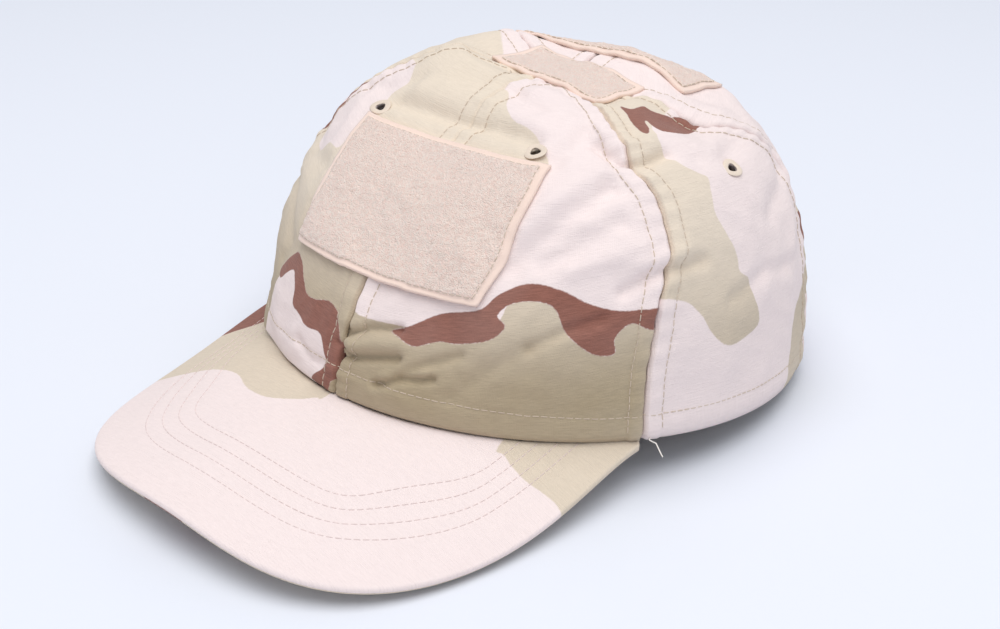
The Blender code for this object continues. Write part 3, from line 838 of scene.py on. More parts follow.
def threadTube(target, path, normals, pitch=None, radius=None, dips=True):
    pitch = pitch or stitch["pitch"]
    radius = radius or stitch["radius"]
    steps = np.linalg.norm(np.diff(path, axis=0), axis=1)
    travelled = np.concatenate([[0], np.cumsum(steps)])
    count = max(1, round(travelled[-1] / pitch))
    samples = count * stitch["rings"] + 1
    at = np.linspace(0, travelled[-1], samples)
    centre = np.stack([np.interp(at, travelled, path[:, k]) for k in range(3)], axis=-1)
    up = unit(np.stack([np.interp(at, travelled, normals[:, k]) for k in range(3)], axis=-1))
    side = unit(np.cross(unitAlong(centre), up))
    share = (at / travelled[-1] * count) % 1.0
    near = np.minimum(share, 1 - share)
    dip = np.exp(-((near / stitch["dipShare"]) ** 2)) if dips else np.zeros(samples)
    centre = centre + up * (radius * (0.6 - stitch["dip"] * dip))[:, None]
    shape, u, v = gridShape(samples - 1, stitch["sides"])
    ring = np.rint(u * (samples - 1)).astype(int)
    turn = v * 2 * math.pi
    points = centre[ring] + radius * (
        np.cos(turn)[:, None] * side[ring] + np.sin(turn)[:, None] * up[ring]
    )
    setPlaces(shape, points)
    bmesh.ops.remove_doubles(shape, verts=shape.verts, dist=radius * 0.05)
    bmesh.ops.holes_fill(shape, edges=shape.edges, sides=stitch["sides"] + 1)
    bmesh.ops.recalc_face_normals(shape, faces=shape.faces)
    mesh = bpy.data.meshes.new("thread")
    shape.to_mesh(mesh)
    shape.free()
    target.from_mesh(mesh)
    bpy.data.meshes.remove(mesh)


def crownThread(target, angle, climb, out=0.0, **kind):
    path = onCrown(angle, climb, out)
    threadTube(target, path, slopeNormal(softCrown, angle, climb), **kind)


def seamAngle(seam, climb, across):
    return seam + across / (crown["halfWidth"] * reachLeft(seam, climb))


def crownRelief(angle, climb):
    # what sewing does to the surface: allowances, needle rows, the hem and the rolled edge
    away = seamDistance(angle, climb)
    folded = 1 - smooth(seams["allowance"] - 0.0006, seams["allowance"] + 0.0010, away)
    lift = seams["allowanceLift"] * folded
    pressed = np.where(np.abs(angle) < 0.5, 1 - seams["pressed"] * smooth(0.50, 0.60, climb), 1.0)
    lift -= seams["groove"] * pressed * np.exp(-((away / seams["grooveWidth"]) ** 2))
    lift -= seams["stitchDip"] * np.exp(-(((away - seams["allowance"]) / seams["stitchDipWidth"]) ** 2))
    pucker = np.sin(climb * crown["gore"] * 2 * math.pi / seams["puckerPitch"] + 3 * np.sin(climb * 9))
    lift += seams["pucker"] * pucker * np.exp(-((away / seams["puckerWidth"]) ** 2))
    above = bareCrown(angle, climb)[:, 2] - edgeHeight(angle)
    lift -= seams["hemDip"] * np.exp(-(((above - seams["hem"]) / seams["hemDipWidth"]) ** 2))
    lift += seams["hemLift"] * (1 - smooth(seams["hem"] - 0.001, seams["hem"] + 0.002, above))
    lift -= seams["edgeRoll"] * (1 - smooth(0.0, seams["edgeRollHeight"], above))
    return lift


eyelets = {
    "places": {  # degrees round and climb
        "front_panel_left": (37.6, 0.626), "front_panel_right": (-40.5, 0.612),
        "side_panel_left": (92.8, 0.493), "side_panel_right": (-91.3, 0.491),
        "back_panel_left": (148.0, 0.500), "back_panel_right": (-148.0, 0.500),
    },
    "hole": 0.0019,
    "ring": 0.0028,
    "thread": 0.00090,
    "spokes": 26,
}


def openEyelet(name):
    degrees, climb = eyelets["places"][name]
    centre = Vector(onCrown(np.array([math.radians(degrees)]), np.array([climb]))[0])

    def cut(shape):
        gone = [f for f in shape.faces if (f.calc_center_median() - centre).length < eyelets["hole"]]
        bmesh.ops.delete(shape, geom=gone, context="FACES")
        for vert in shape.verts:
            away = vert.co - centre
            if vert.is_boundary and 0 < away.length < eyelets["hole"] * 2:
                vert.co = centre + away.normalized() * eyelets["hole"] * 1.15

    return cut


def sewPanel(name, spot, middle, columns, rows):
    # spot(u, v) gives angle and climb; the flat measure across starts at the middle angle
    def place(u, v):
        angle, climb = spot(u, v)
        return onCrown(angle, climb, crownRelief(angle, climb))

    def flatSize(u, v):
        angle, climb = spot(u, v)
        across = (angle - middle) * crown["halfWidth"] * reachLeft(angle, climb)
        return across, climb * crown["gore"]

    made = clothGrid(name + "_cloth", place, columns, rows, camo, crown["cloth"], flatSize,
                     lambda u, v: crownPrint(name, *spot(u, v)), openEyelet(name))
    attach(made, "cap")
    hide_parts(name)
    return made


def crownPanel(name, start, end, columns, rows):
    def spot(u, v):
        # the columns stand closer together beside the seams
        angle = mix(start, end, u - 0.5 * np.sin(2 * math.pi * u) / (2 * math.pi))
        climb = climbAtReach(angle, crown["apexHole"]) * v
        return angle, climb

    return sewPanel(name, spot, (start + end) / 2, columns, rows)


# The rear opening, its binding and its strap.
opening = {
    "halfWidth": 0.038,
    "height": 0.046,
    "squareness": 3.0,
    "bindingWidth": 0.0075,
    "foot": 0.012,  # how far up the arch the binding starts, as a share
    "flatMiddle": 2.6,  # the angle that a back panel's flat measure starts from
}


def archEdge(turn, grow=0.0):
    roundIt = np.asarray(turn) * math.pi / 2
    power = 2 / opening["squareness"]
    x = (opening["halfWidth"] + grow) * np.cos(roundIt) ** power
    return x, (opening["height"] + grow) * np.sin(roundIt) ** power


def angleAtX(start, x, climbAt):
    # halves the quarter turn from start to the side until the bare crown is this far across there
    low, high = np.full(x.shape, start), np.full(x.shape, math.pi / 2)
    for _ in range(36):
        middle = (low + high) / 2
        under = bareCrown(middle, climbAt(middle))[..., 0] < x
        low, high = np.where(under, middle, low), np.where(under, high, middle)
    return (low + high) / 2


def rearPlace(x, height):
    # angle and climb of the rear wall at this x, from 0 to the crown's half width, and height
    x, height = np.broadcast_arrays(np.asarray(x, float), np.asarray(height, float))
    angle = angleAtX(math.pi, x, lambda angle: climbAtHeight(angle, height))
    return angle, climbAtHeight(angle, height)


def backPanel(name, side, columns, rows):
    # its first third of columns stands on the lower edge, and the others on the arch
    plain = columns // 3
    foot = float(rearPlace(opening["halfWidth"], 0.0)[0])

    def spot(u, v):
        across = u if side > 0 else 1 - u
        column = across * columns
        turn = np.clip((column - plain) / (columns - plain), 0, 1)
        x, height = archEdge(turn)
        archAngle, archLow = rearPlace(x, height)
        flat = column <= plain
        angle = np.where(flat, mix(seams["back"], foot, column / plain), archAngle)
        low = np.where(flat, 0.0, archLow)
        climb = mix(low, climbAtReach(angle, crown["apexHole"]), v)
        return side * angle, climb

    return sewPanel(name, spot, side * opening["flatMiddle"], columns, rows)


fine = 1.0


def counts(columns, rows):
    return round(columns * fine), round(rows * fine)


for side, word in ((1, "left"), (-1, "right")):
    ends = sorted((0.0, side * seams["side"]))
    crownPanel("front_panel_" + word, *ends, *counts(132, 170))
    ends = sorted((side * seams["side"], side * seams["back"]))
    crownPanel("side_panel_" + word, *ends, *counts(112, 170))
    backPanel("back_panel_" + word, side, *counts(102, 120))
print("six crown panels sewn")


# Visor: two cloth covers that wrap a plastic board and meet at the rim.
visor = {
    "length": 0.0654,
    "halfWidth": 0.0823,
    "squareness": 3.25,
    "end": math.radians(86.0),
    "rimFront": 0.0138,
    "rimLow": 0.0043,
    "rimEnd": 0.0155,
    "tuck": 0.0010,
    "gap": 0.0003,
    "thick": 0.0030,
    "cloth": 0.0006,
    "rows": (0.0165, 0.0218, 0.0271, 0.0324),
    "rowDip": 0.00014,
    "rowWidth": 0.0008,
    "rowThread": 0.00013,
    "rowEnd": 0.985,
    "ripple": 0.00014,
    "sideRows": 0.74,  # the rows run nearer to the rim at the sides
    "boardEnd": 0.97,
    "boardMargin": 0.0042,
    "boardDepth": 0.0010,
    "boardThick": 0.0010,
}


def visorSpan(turn):
    # the visor's root at the crown's edge and its rim, at this turn from -1 to 1
    around = turn * visor["end"]
    rootAngle = around / (math.pi / 2) * seams["side"]
    tuck = visor["tuck"]
    root = np.stack([
        crown["halfWidth"] * np.sin(rootAngle) - tuck * np.sin(rootAngle),
        -crown["frontReach"] * np.cos(rootAngle) + tuck,
        edgeHeight(rootAngle) - visor["gap"],
    ], axis=-1)
    back = -crown["frontReach"] * math.cos(seams["side"])
    longReach = visor["length"] + crown["frontReach"] + back
    power = visor["squareness"]
    radius = ((np.abs(np.sin(around)) / visor["halfWidth"]) ** power
              + (np.abs(np.cos(around)) / longReach) ** power) ** (-1 / power)
    top = np.where(np.abs(around) < math.pi / 4, visor["rimFront"], visor["rimEnd"])
    rim = np.stack([
        radius * np.sin(around),
        back - radius * np.cos(around),
        mix(top, visor["rimLow"], np.sin(2 * around) ** 2),
    ], axis=-1)
    root[..., 1] += crown["centreBack"]
    rim[..., 1] += crown["centreBack"]
    return root, rim


def visorSurface(turn, fromRim):
    # a point of the visor's top face, this far in from the rim
    root, rim = visorSpan(turn)
    inwards = root - rim
    width = np.linalg.norm(inwards, axis=-1, keepdims=True)
    return rim + inwards * np.minimum(1.0, np.asarray(fromRim)[..., None] / width)


def visorNormal(turn, fromRim):
    roundIt = visorSurface(turn + 0.004, fromRim) - visorSurface(turn - 0.004, fromRim)
    out = visorSurface(turn, np.maximum(0, fromRim - 0.0006)) - visorSurface(turn, fromRim + 0.0006)
    normal = unit(np.cross(out, roundIt))
    return normal * np.sign(normal[..., 2:])


def fromRimInPlan(points, turn):
    rim = visorSpan(np.linspace(-1, 1, 161))[1]
    closer = mix(1.0, visor["sideRows"], smooth(0.30, 0.55, np.abs(turn)))
    return pathDistance(points[:, :2], rim[:, :2]) / closer


def visorRipple(points, fromRim):
    return visor["ripple"] * ripple(points * 0.55) * smooth(0.002, 0.01, fromRim)


def visorCover(name, under, columns, rows, node, printed):
    lipRows = 5

    def parts(u, v):
        # rows first come round the rim from its middle, then run in to the root
        turn = (2 * u - 1) * (1 if not under else -1)
        row = np.rint(v * rows)
        lip = np.clip(row / lipRows, 0, 1) * math.pi / 2
        root, rim = visorSpan(turn)
        width = np.linalg.norm(root - rim, axis=-1)
        half = np.minimum(visor["thick"] / 2, 0.4 * width)
        share = np.clip((row - lipRows) / (rows - lipRows), 0, 1)
        fromRim = half * (1 - np.cos(lip)) * 0.9 + share * (width - half * 0.9)
        rise = half * (np.sin(lip) - 1) - (visor["thick"] / 2 - half)
        return turn, fromRim, rise

    def place(u, v):
        turn, fromRim, rise = parts(u, v)
        points = visorSurface(turn, fromRim)
        up = visorNormal(turn, np.maximum(fromRim, 0.001))
        inset = fromRimInPlan(points, turn)
        for row in visor["rows"]:
            near = np.abs(inset - row)
            rise = rise - visor["rowDip"] * np.exp(-((near / visor["rowWidth"]) ** 2))
        rise = rise + visorRipple(points, fromRim)
        if not under:
            return points + up * rise[:, None]
        return points - up * (visor["thick"] + rise - 0.00006)[:, None]

    def flatSize(u, v):
        points = place(u, v)
        return points[:, 0], points[:, 1]

    made = clothGrid(name, place, columns, rows, camo, visor["cloth"], flatSize,
                     lambda u, v: planPrint(printed, place(u, v)))
    # the top cover faces up and the under cover faces down
    shape = bmesh.new()
    shape.from_mesh(made.data)
    middle = min(shape.faces, key=lambda f: (f.calc_center_median() - Vector((0, -0.10, 0.015))).length)
    if (middle.normal.z < 0) != under:
        bmesh.ops.reverse_faces(shape, faces=shape.faces)
    shape.to_mesh(made.data)
    shape.free()
    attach(made, "cap")
    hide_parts(node)
    return made


topCover = visorCover("visorTopCover", False, *counts(230, 64), "visor_top_cover", visorPrint)
underCover = visorCover("visorUnderCover", True, *counts(190, 46), "visor_under_cover", underPrint)
print("visor covered")


def visorStitching():
    # each row follows the points that lie one inset from the rim, on both covers
    shape = bmesh.new()
    turns, shares = np.linspace(-visor["rowEnd"], visor["rowEnd"], 260), np.linspace(0, 1, 60)
    root, rim = visorSpan(turns)
    width = np.linalg.norm(root - rim, axis=-1)
    lines = mix(rim[:, None], root[:, None], shares[None, :, None])
    inset = fromRimInPlan(lines.reshape(-1, 3), np.repeat(turns, len(shares)))
    inset = inset.reshape(len(turns), len(shares))
    for row in visor["rows"]:
        kept = inset[:, -1] > row
        share = np.array([np.interp(row, line, shares) for line in inset[kept]])
        fromRim = share * width[kept]
        normals = visorNormal(turns[kept], fromRim)
        path = visorSurface(turns[kept], fromRim)
        path = path + normals * (visorRipple(path, fromRim) - visor["rowDip"] + 0.00002)[:, None]
        threadTube(shape, path, normals, radius=visor["rowThread"])
        below = path - normals * (visor["thick"] - 2 * visor["rowDip"])
        threadTube(shape, below, -normals, radius=visor["rowThread"])
    made = newMesh("visorStitching", shape, rowThread)
    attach(made, "cap")


visorStitching()


def visorBoard():
    # the plastic stiffener between the covers
    def place(u, v):
        turn = (2 * u - 1) * visor["boardEnd"]
        root, rim = visorSpan(turn)
        width = np.linalg.norm(root - rim, axis=-1)
        fromRim = mix(np.minimum(visor["boardMargin"], 0.3 * width), width * 0.985, v)
        return visorSurface(turn, fromRim) - visorNormal(turn, fromRim) * visor["boardDepth"]

    made = clothGrid("visorBoardPlate", place, *counts(120, 24), boardFinish, visor["boardThick"])
    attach(made, "cap")
    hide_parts("visor_board")


visorBoard()


# Loop patches: a woven edge with a field of short loops inside it.
patch = {
    "backing": 0.0009,
    "pileHeight": 0.0011,
    "selvage": 0.0021,
    "roughness": 0.00011,
    "thickness": 0.0011,
    "seed": 7,
}


def pileRelief(fromEdge, count):
    random = np.random.default_rng(patch["seed"])
    high = smooth(patch["selvage"] - 0.0004, patch["selvage"] + 0.0008, fromEdge)
    return patch["backing"] + high * (patch["pileHeight"] - 0.0003
                                      + patch["roughness"] * random.standard_normal(count))


def selvageField(fromEdge):
    return {"selvage": 1 - smooth(patch["selvage"] - 0.0003, patch["selvage"] + 0.0003, fromEdge)}


def edgeDistance(u, v, wide, deep):
    return np.minimum(np.minimum(u, 1 - u) * wide, np.minimum(v, 1 - v) * deep)


def patchRow(wide, deep, inset, across, along):
    # once round the patch, this far in from its edge, with so many points to each side
    out, up = np.linspace(0, 1, across), np.linspace(0, 1, along)
    u = np.concatenate([out, np.ones(along), out[::-1], np.zeros(along)])
    v = np.concatenate([np.zeros(across), up, np.ones(across), up[::-1]])
    return mix(inset / wide, 1 - inset / wide, u), mix(inset / deep, 1 - inset / deep, v)


def patchThread(name, edge, normals):
    shape = bmesh.new()
    threadTube(shape, edge, normals)
    made = newMesh(name, shape, threadTan)
    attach(made, "cap")
    return made


frontPatch = {
    "halfWidth": 0.0390,
    "height": 0.060,
    "shift": 0.0010,
    "low": 0.286,  # climb of its lower corners
    "high": 0.585,  # and of its upper ones
    "level": 0.033,  # its middle climbs this much more, which keeps its edges level
    "lift": 0.0012,  # how far its lower edge stands off
    "liftReach": 0.004,
    "rowInset": 0.0024,
}


def frontPatchSpot(u, v):
    x = (2 * u - 1) * frontPatch["halfWidth"] + frontPatch["shift"]
    climb = mix(frontPatch["low"], frontPatch["high"], v) + frontPatch["level"] * (1 - (2 * u - 1) ** 2)
    return np.sign(x) * angleAtX(0.0, np.abs(x), lambda angle: climb), climb


def makeFrontPatch():
    wide, tall = 2 * frontPatch["halfWidth"], frontPatch["height"]

    def lifted(u, v):
        most = frontPatch["lift"] * (0.45 + 0.55 * np.sin(u * math.pi) ** 0.5)
        return 0.0004 + np.exp(-v * tall / frontPatch["liftReach"]) * most

    def place(u, v):
        angle, climb = frontPatchSpot(u, v)
        pileHeight = pileRelief(edgeDistance(u, v, wide, tall), len(u))
        return onCrown(angle, climb, pileHeight + lifted(u, v))

    made = clothGrid("frontPatchPile", place, *counts(116, 92), pile, patch["thickness"],
                     lambda u, v: (u * wide, v * tall),
                     lambda u, v: selvageField(edgeDistance(u, v, wide, tall)))
    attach(made, "cap")
    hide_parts("front_loop_patch")
    u, v = patchRow(wide, tall, frontPatch["rowInset"], 80, 60)
    angle, climb = frontPatchSpot(u, v)
    path = onCrown(angle, climb, patch["backing"] + 0.00035 + lifted(u, v))
    thread = patchThread("frontPatchStitching", path, slopeNormal(softCrown, angle, climb))
    return made, thread, wide, tall


def crownOver(x, y):
    # angle and climb of the crown right under a plan point, measured from the crown's middle
    angle = np.arctan2(x / crown["halfWidth"], -(y - crown["apexBack"]) / crown["rearReach"])
    climb = np.ones(len(x))
    for _ in range(50):
        left = reachLeft(angle, climb)
        depth = np.where(np.cos(angle) > 0, crown["frontReach"], crown["rearReach"])
        centre = crown["apexBack"] * (1 - left)
        flat = np.hypot(x / crown["halfWidth"], (y - centre) / depth)
        angle = np.arctan2(x / crown["halfWidth"], -(y - centre) / depth)
        climb = climbAtReach(angle, np.clip(flat, 1e-6, 1.0))
    return angle, np.minimum(climb, 0.999)


# The two patches on top lie straight as seen from above. The first is sewn on a little askew.
topPatches = {
    "topPatchPile": {"node": "top_loop_patch", "half": 0.0240, "front": -0.0062, "rear": 0.0180,
                     "lift": 0.0005, "shift": 0.0045, "skew": 0.0016},
    "backPatchPile": {"node": "back_loop_patch", "half": 0.0380, "front": 0.0275, "rear": 0.0505,
                      "lift": 0.0005, "shift": 0.0, "skew": 0.0},
}
topPatchInset = 0.0022  # of the stitched row


def makeTopPatch(name, size, columns, rows):
    wide, deep = 2 * size["half"], size["rear"] - size["front"]

    def base(u, v):
        x, y = (2 * u - 1) * size["half"], mix(size["front"], size["rear"], v)
        x, y = x + size["shift"] + size["skew"] * (v - 0.5), y - size["skew"] * (2 * u - 1)
        angle, climb = crownOver(x, y)
        points = softSurface(angle, climb)
        points[:, 0], points[:, 1] = x, y + crown["centreBack"]
        return points

    def place(u, v):
        edge = edgeDistance(u, v, wide, deep)
        points = base(u, v)
        wavy = 0.0003 * np.sin(u * wide * 2 * math.pi / 0.011 + 1.0) * np.exp(-edge / 0.004)
        points[:, 2] += pileRelief(edge, len(u)) + size["lift"] + wavy
        return points

    made = clothGrid(name, place, columns, rows, pile, patch["thickness"],
                     lambda u, v: (u * wide, v * deep),
                     lambda u, v: selvageField(edgeDistance(u, v, wide, deep)))
    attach(made, "cap")
    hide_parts(size["node"])
    u, v = patchRow(wide, deep, topPatchInset, 60, 40)
    path = base(u, v)
    path[:, 2] += patch["backing"] + size["lift"] + 0.0003
    up = np.tile(np.array([0.0, 0.0, 1.0]), (len(path), 1))
    thread = patchThread(name.replace("Pile", "Stitching"), path, up)
    return made, thread, wide, deep


patchesMade = {"frontPatchPile": makeFrontPatch()}
for name, size in topPatches.items():
    area = (size["half"] * 2, size["rear"] - size["front"])
    patchesMade[name] = makeTopPatch(name, size, *counts(area[0] * 1450, area[1] * 1450))
print("loop patches laid")


# Topstitching on each side of every seam, and the hem's row round the lower edge.
def crownStitching():
    shape = bmesh.new()
    seamAngles = [0.0, seams["side"], -seams["side"], seams["back"], -seams["back"], math.pi]
    for seam in seamAngles:
        low = seams["stitchLow"]
        if seam == math.pi:
            low = float(rearPlace(0.0001, opening["height"] + opening["bindingWidth"])[1])
        for side in (-1, 1):
            climb = np.linspace(low, seams["stitchTop"], 250)
            angle = seamAngle(seam, climb, side * seams["allowance"])
            crownThread(shape, angle, climb, crownRelief(angle, climb))
    foot = float(rearPlace(opening["halfWidth"] + opening["bindingWidth"], 0.0)[0])
    angle = np.linspace(-foot, foot, 620)
    climb = climbAtHeight(angle, edgeHeight(angle) + seams["hem"])
    crownThread(shape, angle, climb, crownRelief(angle, climb))
    made = newMesh("crownStitching", shape, threadTan)
    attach(made, "cap")


crownStitching()


def sewnEyelet(name, node):
    # a thread ring: each spoke of thread stands a little proud of its neighbours
    degrees, climb = eyelets["places"][name]
    angle, climb = np.array([math.radians(degrees)]), np.array([climb])
    centre = onCrown(angle, climb, 0.0001)[0]
    up = Vector(slopeNormal(softCrown, angle, climb, 0.012)[0])
    turn = up.to_track_quat("Z", "Y").to_matrix()
    spokes = eyelets["spokes"]
    shape, u, v = gridShape(spokes * 5, 10)
    a, s = u * 2 * math.pi, v * 2 * math.pi
    wrap = eyelets["thread"] * (1 + 0.13 * np.abs(np.cos(a * spokes / 2)) - 0.10)
    ring = eyelets["ring"] + 0.00018 * np.sin(3 * a + degrees)
    flat = np.stack([
        (ring + 1.25 * wrap * np.cos(s)) * np.cos(a) * 1.14,
        (ring + 1.25 * wrap * np.cos(s)) * np.sin(a) * 0.88,
        0.26 * wrap * np.sin(s),
    ], axis=-1)
    setPlaces(shape, flat @ np.array(turn).T + centre)
    bmesh.ops.remove_doubles(shape, verts=shape.verts, dist=0.00001)
    bmesh.ops.recalc_face_normals(shape, faces=shape.faces)
    made = newMesh(name.replace("panel", "eyelet") + "_thread", shape, eyeletThread)
    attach(made, "cap")
    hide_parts(node)


for name in eyelets["places"]:
    sewnEyelet(name, name.replace("panel", "eyelet"))
print("eyelets and topstitching sewn")


# Inside: seam tapes, sweatband and size label.
lining = {
    "tapeDepth": 0.0023,
    "tapeThick": 0.0006,
    "tapeHalfWidth": 0.0060,
    "tapeTop": 0.150,
    "tapeLow": 0.20,
    "backTapeLow": 0.40,
    "bandDepth": 0.0035,
    "bandThick": 0.0012,
    "bandHeight": 0.032,
    "bandHem": 0.0005,
    "bandPitch": 0.0034,
    "labelThick": 0.0004,
    "labelWidth": 0.016,
    "labelSide": 0.052,
}


def seamTape(node, seam, lowClimb):
    def spot(u, v):
        climb = mix(lowClimb, climbAtReach(np.full(len(v), seam), lining["tapeTop"]), v)
        return seamAngle(seam, climb, (2 * u - 1) * lining["tapeHalfWidth"]), climb

    def place(u, v):
        return onCrown(*spot(u, v), -lining["tapeDepth"])

    made = clothGrid(node + "_twill", place, *counts(12, 90), twill, lining["tapeThick"],
                     lambda u, v: (u * 0.012, v * 0.09))
    shape = bmesh.new()
    for side in (0.17, 0.83):
        v = np.linspace(0.01, 0.99, 90)
        angle, climb = spot(np.full(90, side), v)
        normals = slopeNormal(softCrown, angle, climb)
        threadTube(shape, onCrown(angle, climb, -lining["tapeDepth"] - lining["tapeThick"]), -normals)
    thread = newMesh(node + "_stitching", shape, threadTan)
    for piece, slotName in ((made, "khaki_twill"), (thread, "tan_thread")):
        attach(piece, "cap")
    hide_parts(node)
    return made


tapes = {"front_seam_tape": (0.0, "tapeLow"), "back_seam_tape": (math.pi, "backTapeLow")}
for side, word in ((1, "left"), (-1, "right")):
    tapes["front_side_seam_tape_" + word] = (side * seams["side"], "tapeLow")
    tapes["back_side_seam_tape_" + word] = (side * seams["back"], "tapeLow")
tapePieces = [seamTape(node, seam, lining[low]) for node, (seam, low) in tapes.items()]


def sweatband():
    end = float(rearPlace(opening["halfWidth"] + opening["bindingWidth"] / 2, 0.0)[0])

    def spot(u, v):
        angle = mix(-end, end, u)
        height = edgeHeight(angle) + mix(lining["bandHem"], lining["bandHeight"], v)
        return angle, climbAtHeight(angle, height)

    def place(u, v):
        angle, climb = spot(u, v)
        wave = 0.0003 * np.sin(u * 160) * smooth(0.5, 1.0, v)
        roll = 0.0007 * (1 - smooth(0.0, 0.08, v))
        return onCrown(angle, climb, -lining["bandDepth"] + wave * 0.6 - roll)

    made = clothGrid("sweatbandTwill", place, *counts(360, 26), twill, lining["bandThick"],
                     lambda u, v: (u * 0.5, v * 0.032))
    shape = bmesh.new()
    for level in (0.10, 0.90):
        angle, climb = spot(np.linspace(0.004, 0.996, 420), np.full(420, level))
        normals = slopeNormal(softCrown, angle, climb)
        depth = lining["bandDepth"] + lining["bandThick"]
        threadTube(shape, onCrown(angle, climb, -depth), -normals, lining["bandPitch"])
    thread = newMesh("sweatbandStitching", shape, threadTan)
    for piece, slotName in ((made, "khaki_twill"), (thread, "tan_thread")):
        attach(piece, "cap")
    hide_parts("sweatband")
    return made


def sizeLabel():
    depth = lining["bandDepth"] + lining["bandThick"] + 0.0003

    def place(u, v):
        angle, climb = rearPlace(lining["labelSide"] + lining["labelWidth"] * u, mix(0.010, 0.024, v))
        return onCrown(-angle, climb, -depth - 0.0003 * np.sin(u * 7) * v)

    made = clothGrid("sizeLabelTape", place, 20, 18, labelFinish, lining["labelThick"],
                     lambda u, v: (u * lining["labelWidth"], v * 0.014))
    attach(made, "cap")
    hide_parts("size_label")
    return made


bandPiece = sweatband()
labelPiece = sizeLabel()
print("lining sewn in")


def archBinding():
    # a folded tape round the opening's edge, swept as a closed loop of a rounded U
    turns, section = round(150 * fine), 36
    outer, inner = 0.0009, -0.0024
    lip, width = 0.0012, opening["bindingWidth"]

    def loop(s):
        # outer leg, round the lip, inner leg, and back between them
        legs = [(width, outer), (0.001, outer), (-lip * 0.6, outer * 0.7), (-lip, (outer + inner) / 2),
                (-lip * 0.6, inner * 0.85), (0.001, inner), (width, inner), (width, inner + 0.0006),
                (0.0, inner + 0.0008), (-0.0004, (outer + inner) / 2), (0.0, 0.0002), (width, 0.0003),
                (width, outer)]
        legs = np.array(legs)
        steps = np.linspace(0, 1, len(legs))
        return np.interp(s, steps, legs[:, 0]), np.interp(s, steps, legs[:, 1])

    shape, u, v = gridShape(turns, section)
    side = np.where(u < 0.5, 1, -1)
    turn = np.maximum(opening["foot"], 1 - np.abs(1 - 2 * u))
    grow, out = loop(v)
    x, height = archEdge(turn, grow)
    angle, climb = rearPlace(np.maximum(x, 1e-6), height)
    setPlaces(shape, onCrown(side * angle, climb, out))
    uvLayer = shape.loops.layers.uv.new("cloth")
    for face in shape.faces:
        for corner in face.loops:
            corner[uvLayer].uv = (u[corner.vert.index] * 0.15, v[corner.vert.index] * 0.02)
    bmesh.ops.remove_doubles(shape, verts=shape.verts, dist=0.00001)
    bmesh.ops.holes_fill(shape, edges=shape.edges, sides=section + 2)
    bmesh.ops.recalc_face_normals(shape, faces=shape.faces)
    made = newMesh("openingBinding", shape, twill)
    shape = bmesh.new()
    u = np.linspace(0.02, 0.98, 300)
    turn = np.maximum(opening["foot"], 1 - np.abs(1 - 2 * u))
    x, height = archEdge(turn, width - 0.0016)
    angle, climb = rearPlace(np.maximum(x, 1e-6), height)
    angle = np.where(u < 0.5, 1, -1) * angle
    path = onCrown(angle, climb, outer)
    threadTube(shape, path, slopeNormal(softCrown, angle, climb))
    thread = newMesh("bindingStitching", shape, threadTan)
    for piece, slotName in ((made, "khaki_twill"), (thread, "tan_thread")):
        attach(piece, "cap")
    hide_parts("opening_binding")
    return made


bindingPiece = archBinding()

# The two straps overlap behind the head; the hook one lies outside.
strap = {
    "low": 0.0015,
    "high": 0.0205,
    "root": 0.0343,
    "tip": 0.022,
    "sewn": 0.0045,
    "thick": 0.0010,
    "tape": 0.0008,
    "face": 0.0017,
    "gap": 0.0003,
    "blendBefore": 0.0012,
    "blendAfter": 0.0030,
    "rowInset": 0.0022,
}


def blendStrap(made):
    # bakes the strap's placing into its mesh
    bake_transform(made)


def strapLayer(name, node, side, face, root, tip, margin, thick, finish, rounding):
    length, wide = root + tip, strap["high"] - strap["low"]

    def place(u, v):
        across = u if side > 0 else 1 - u
        along = mix(root, -tip, across)
        middle = (strap["low"] + strap["high"]) / 2
        half = (strap["high"] - strap["low"]) / 2 - margin
        toTip = np.maximum(0.0, rounding - (along + tip)) / max(rounding, 1e-9)
        half = half * (1 - 0.42 * (1 - np.sqrt(np.clip(1 - toTip**2, 0, 1))))
        height = middle + (2 * v - 1) * half
        angle, climb = rearPlace(np.abs(along), height)
        edge = np.minimum(v, 1 - v) * 2 * half
        relief = -0.00030 * np.exp(-((edge / 0.0006) ** 2))
        relief = relief - 0.00016 * np.exp(-(((edge - strap["rowInset"]) / 0.0006) ** 2))
        bare = bareCrown(angle, climb)
        points = bare + slopeNormal(bareCrown, angle, climb) * (face + relief)[:, None]
        points[:, 0] *= np.where(along < 0, -1, 1) * side
        return points

    def printed(u, v):
        return planPrint(backStrapPrint, place(u, v)[:, [0, 2]])

    made = clothGrid(name, place, *counts(length * 1500, 24), finish, thick,
                     lambda u, v: (u * length, v * wide), printed if finish == camo else None)
    blendStrap(made)
    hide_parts(node)
    return made, place, length


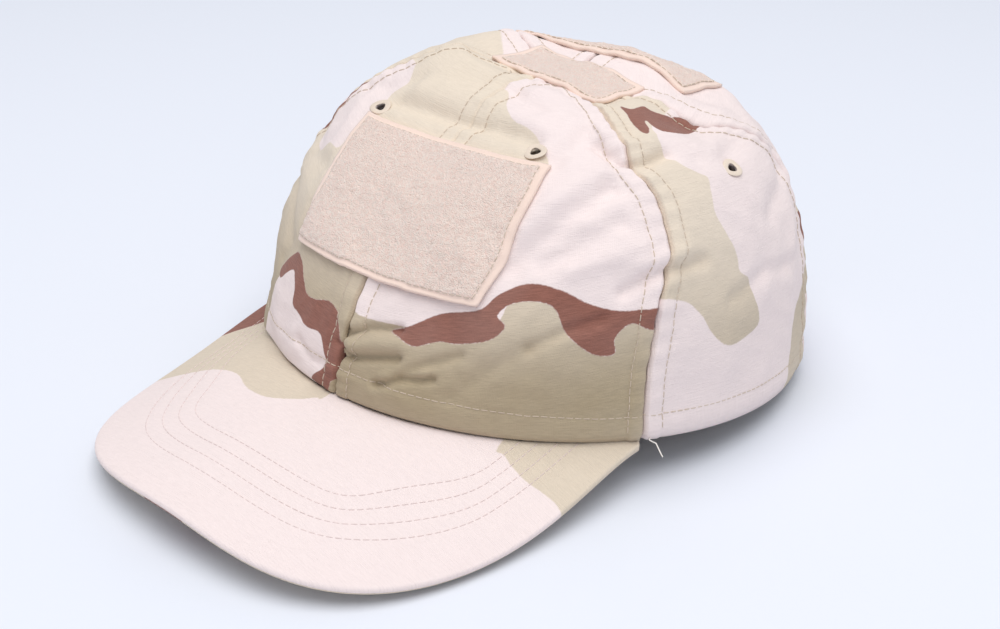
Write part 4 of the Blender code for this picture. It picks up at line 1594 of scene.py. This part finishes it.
def strapThread(name, side, place, length):
    # out along one edge, round the tip and back along the other
    shape = bmesh.new()
    edgeU, edgeV = strap["rowInset"] / length, strap["rowInset"] / (strap["high"] - strap["low"])
    u = np.concatenate([np.linspace(0.02, 1 - edgeU, 70), np.full(20, 1 - edgeU),
                        np.linspace(1 - edgeU, 0.02, 70)])
    v = np.concatenate([np.full(70, edgeV), np.linspace(edgeV, 1 - edgeV, 20), np.full(70, 1 - edgeV)])
    if side < 0:
        u = 1 - u
    path = place(u, v)
    near = place(np.clip(u + 0.01, 0, 1), v) - place(np.clip(u - 0.01, 0, 1), v)
    up = unit(np.cross(near, place(u, np.clip(v + 0.02, 0, 1)) - place(u, np.clip(v - 0.02, 0, 1))))
    up = up * np.sign(up[:, 1:2])
    threadTube(shape, path + up * 0.00005, up)
    made = newMesh(name, shape, threadTan)
    blendStrap(made)


def makeStraps():
    # from the outermost layer inwards
    made = {}
    face, tip = strap["face"], strap["tip"]
    made["hook"], place, length = strapLayer(
        "hookStrapCloth", "hook_strap", -1, face, strap["root"] + strap["sewn"], tip,
        0.0, strap["thick"], camo, 0.009)
    strapThread("hookStrapStitching", -1, place, length)
    face -= strap["thick"] + strap["gap"]
    made["hookTape"], _, _ = strapLayer(
        "hookTapePile", "hook_tape", -1, face, 0.012, tip - 0.001,
        0.001, strap["tape"], hookFinish, 0.006)
    face -= strap["tape"] + strap["gap"]
    made["loopTape"], _, _ = strapLayer(
        "loopTapePile", "loop_tape", 1, face, strap["root"] - 0.005, tip - 0.001,
        0.001, strap["tape"], pile, 0.006)
    face -= strap["tape"] + strap["gap"]
    made["loop"], _, _ = strapLayer(
        "loopStrapCloth", "loop_strap", 1, face, strap["root"] + 0.0010, tip,
        0.0, strap["thick"], camo, 0.009)
    return made


strapPieces = makeStraps()
print("binding and straps sewn")


# A loose end of thread at the visor's left corner.
looseThreadEnd = {
    "path": [(0.0815, -0.0110, 0.0163), (0.0835, -0.0136, 0.0160), (0.0855, -0.0128, 0.0153),
             (0.0880, -0.0146, 0.0148), (0.0905, -0.0162, 0.0142)],
    "spacing": 0.0012,
    "thick": 0.00022,
}


def looseEnd():
    path = np.array(looseThreadEnd["path"])
    shape = bmesh.new()
    up = np.tile(np.array([0.0, 0.0, 1.0]), (len(path), 1))
    threadTube(shape, path, up, looseThreadEnd["spacing"], looseThreadEnd["thick"], dips=False)
    made = newMesh("looseThreadEnd", shape, looseThread)
    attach(made, "cap")


looseEnd()
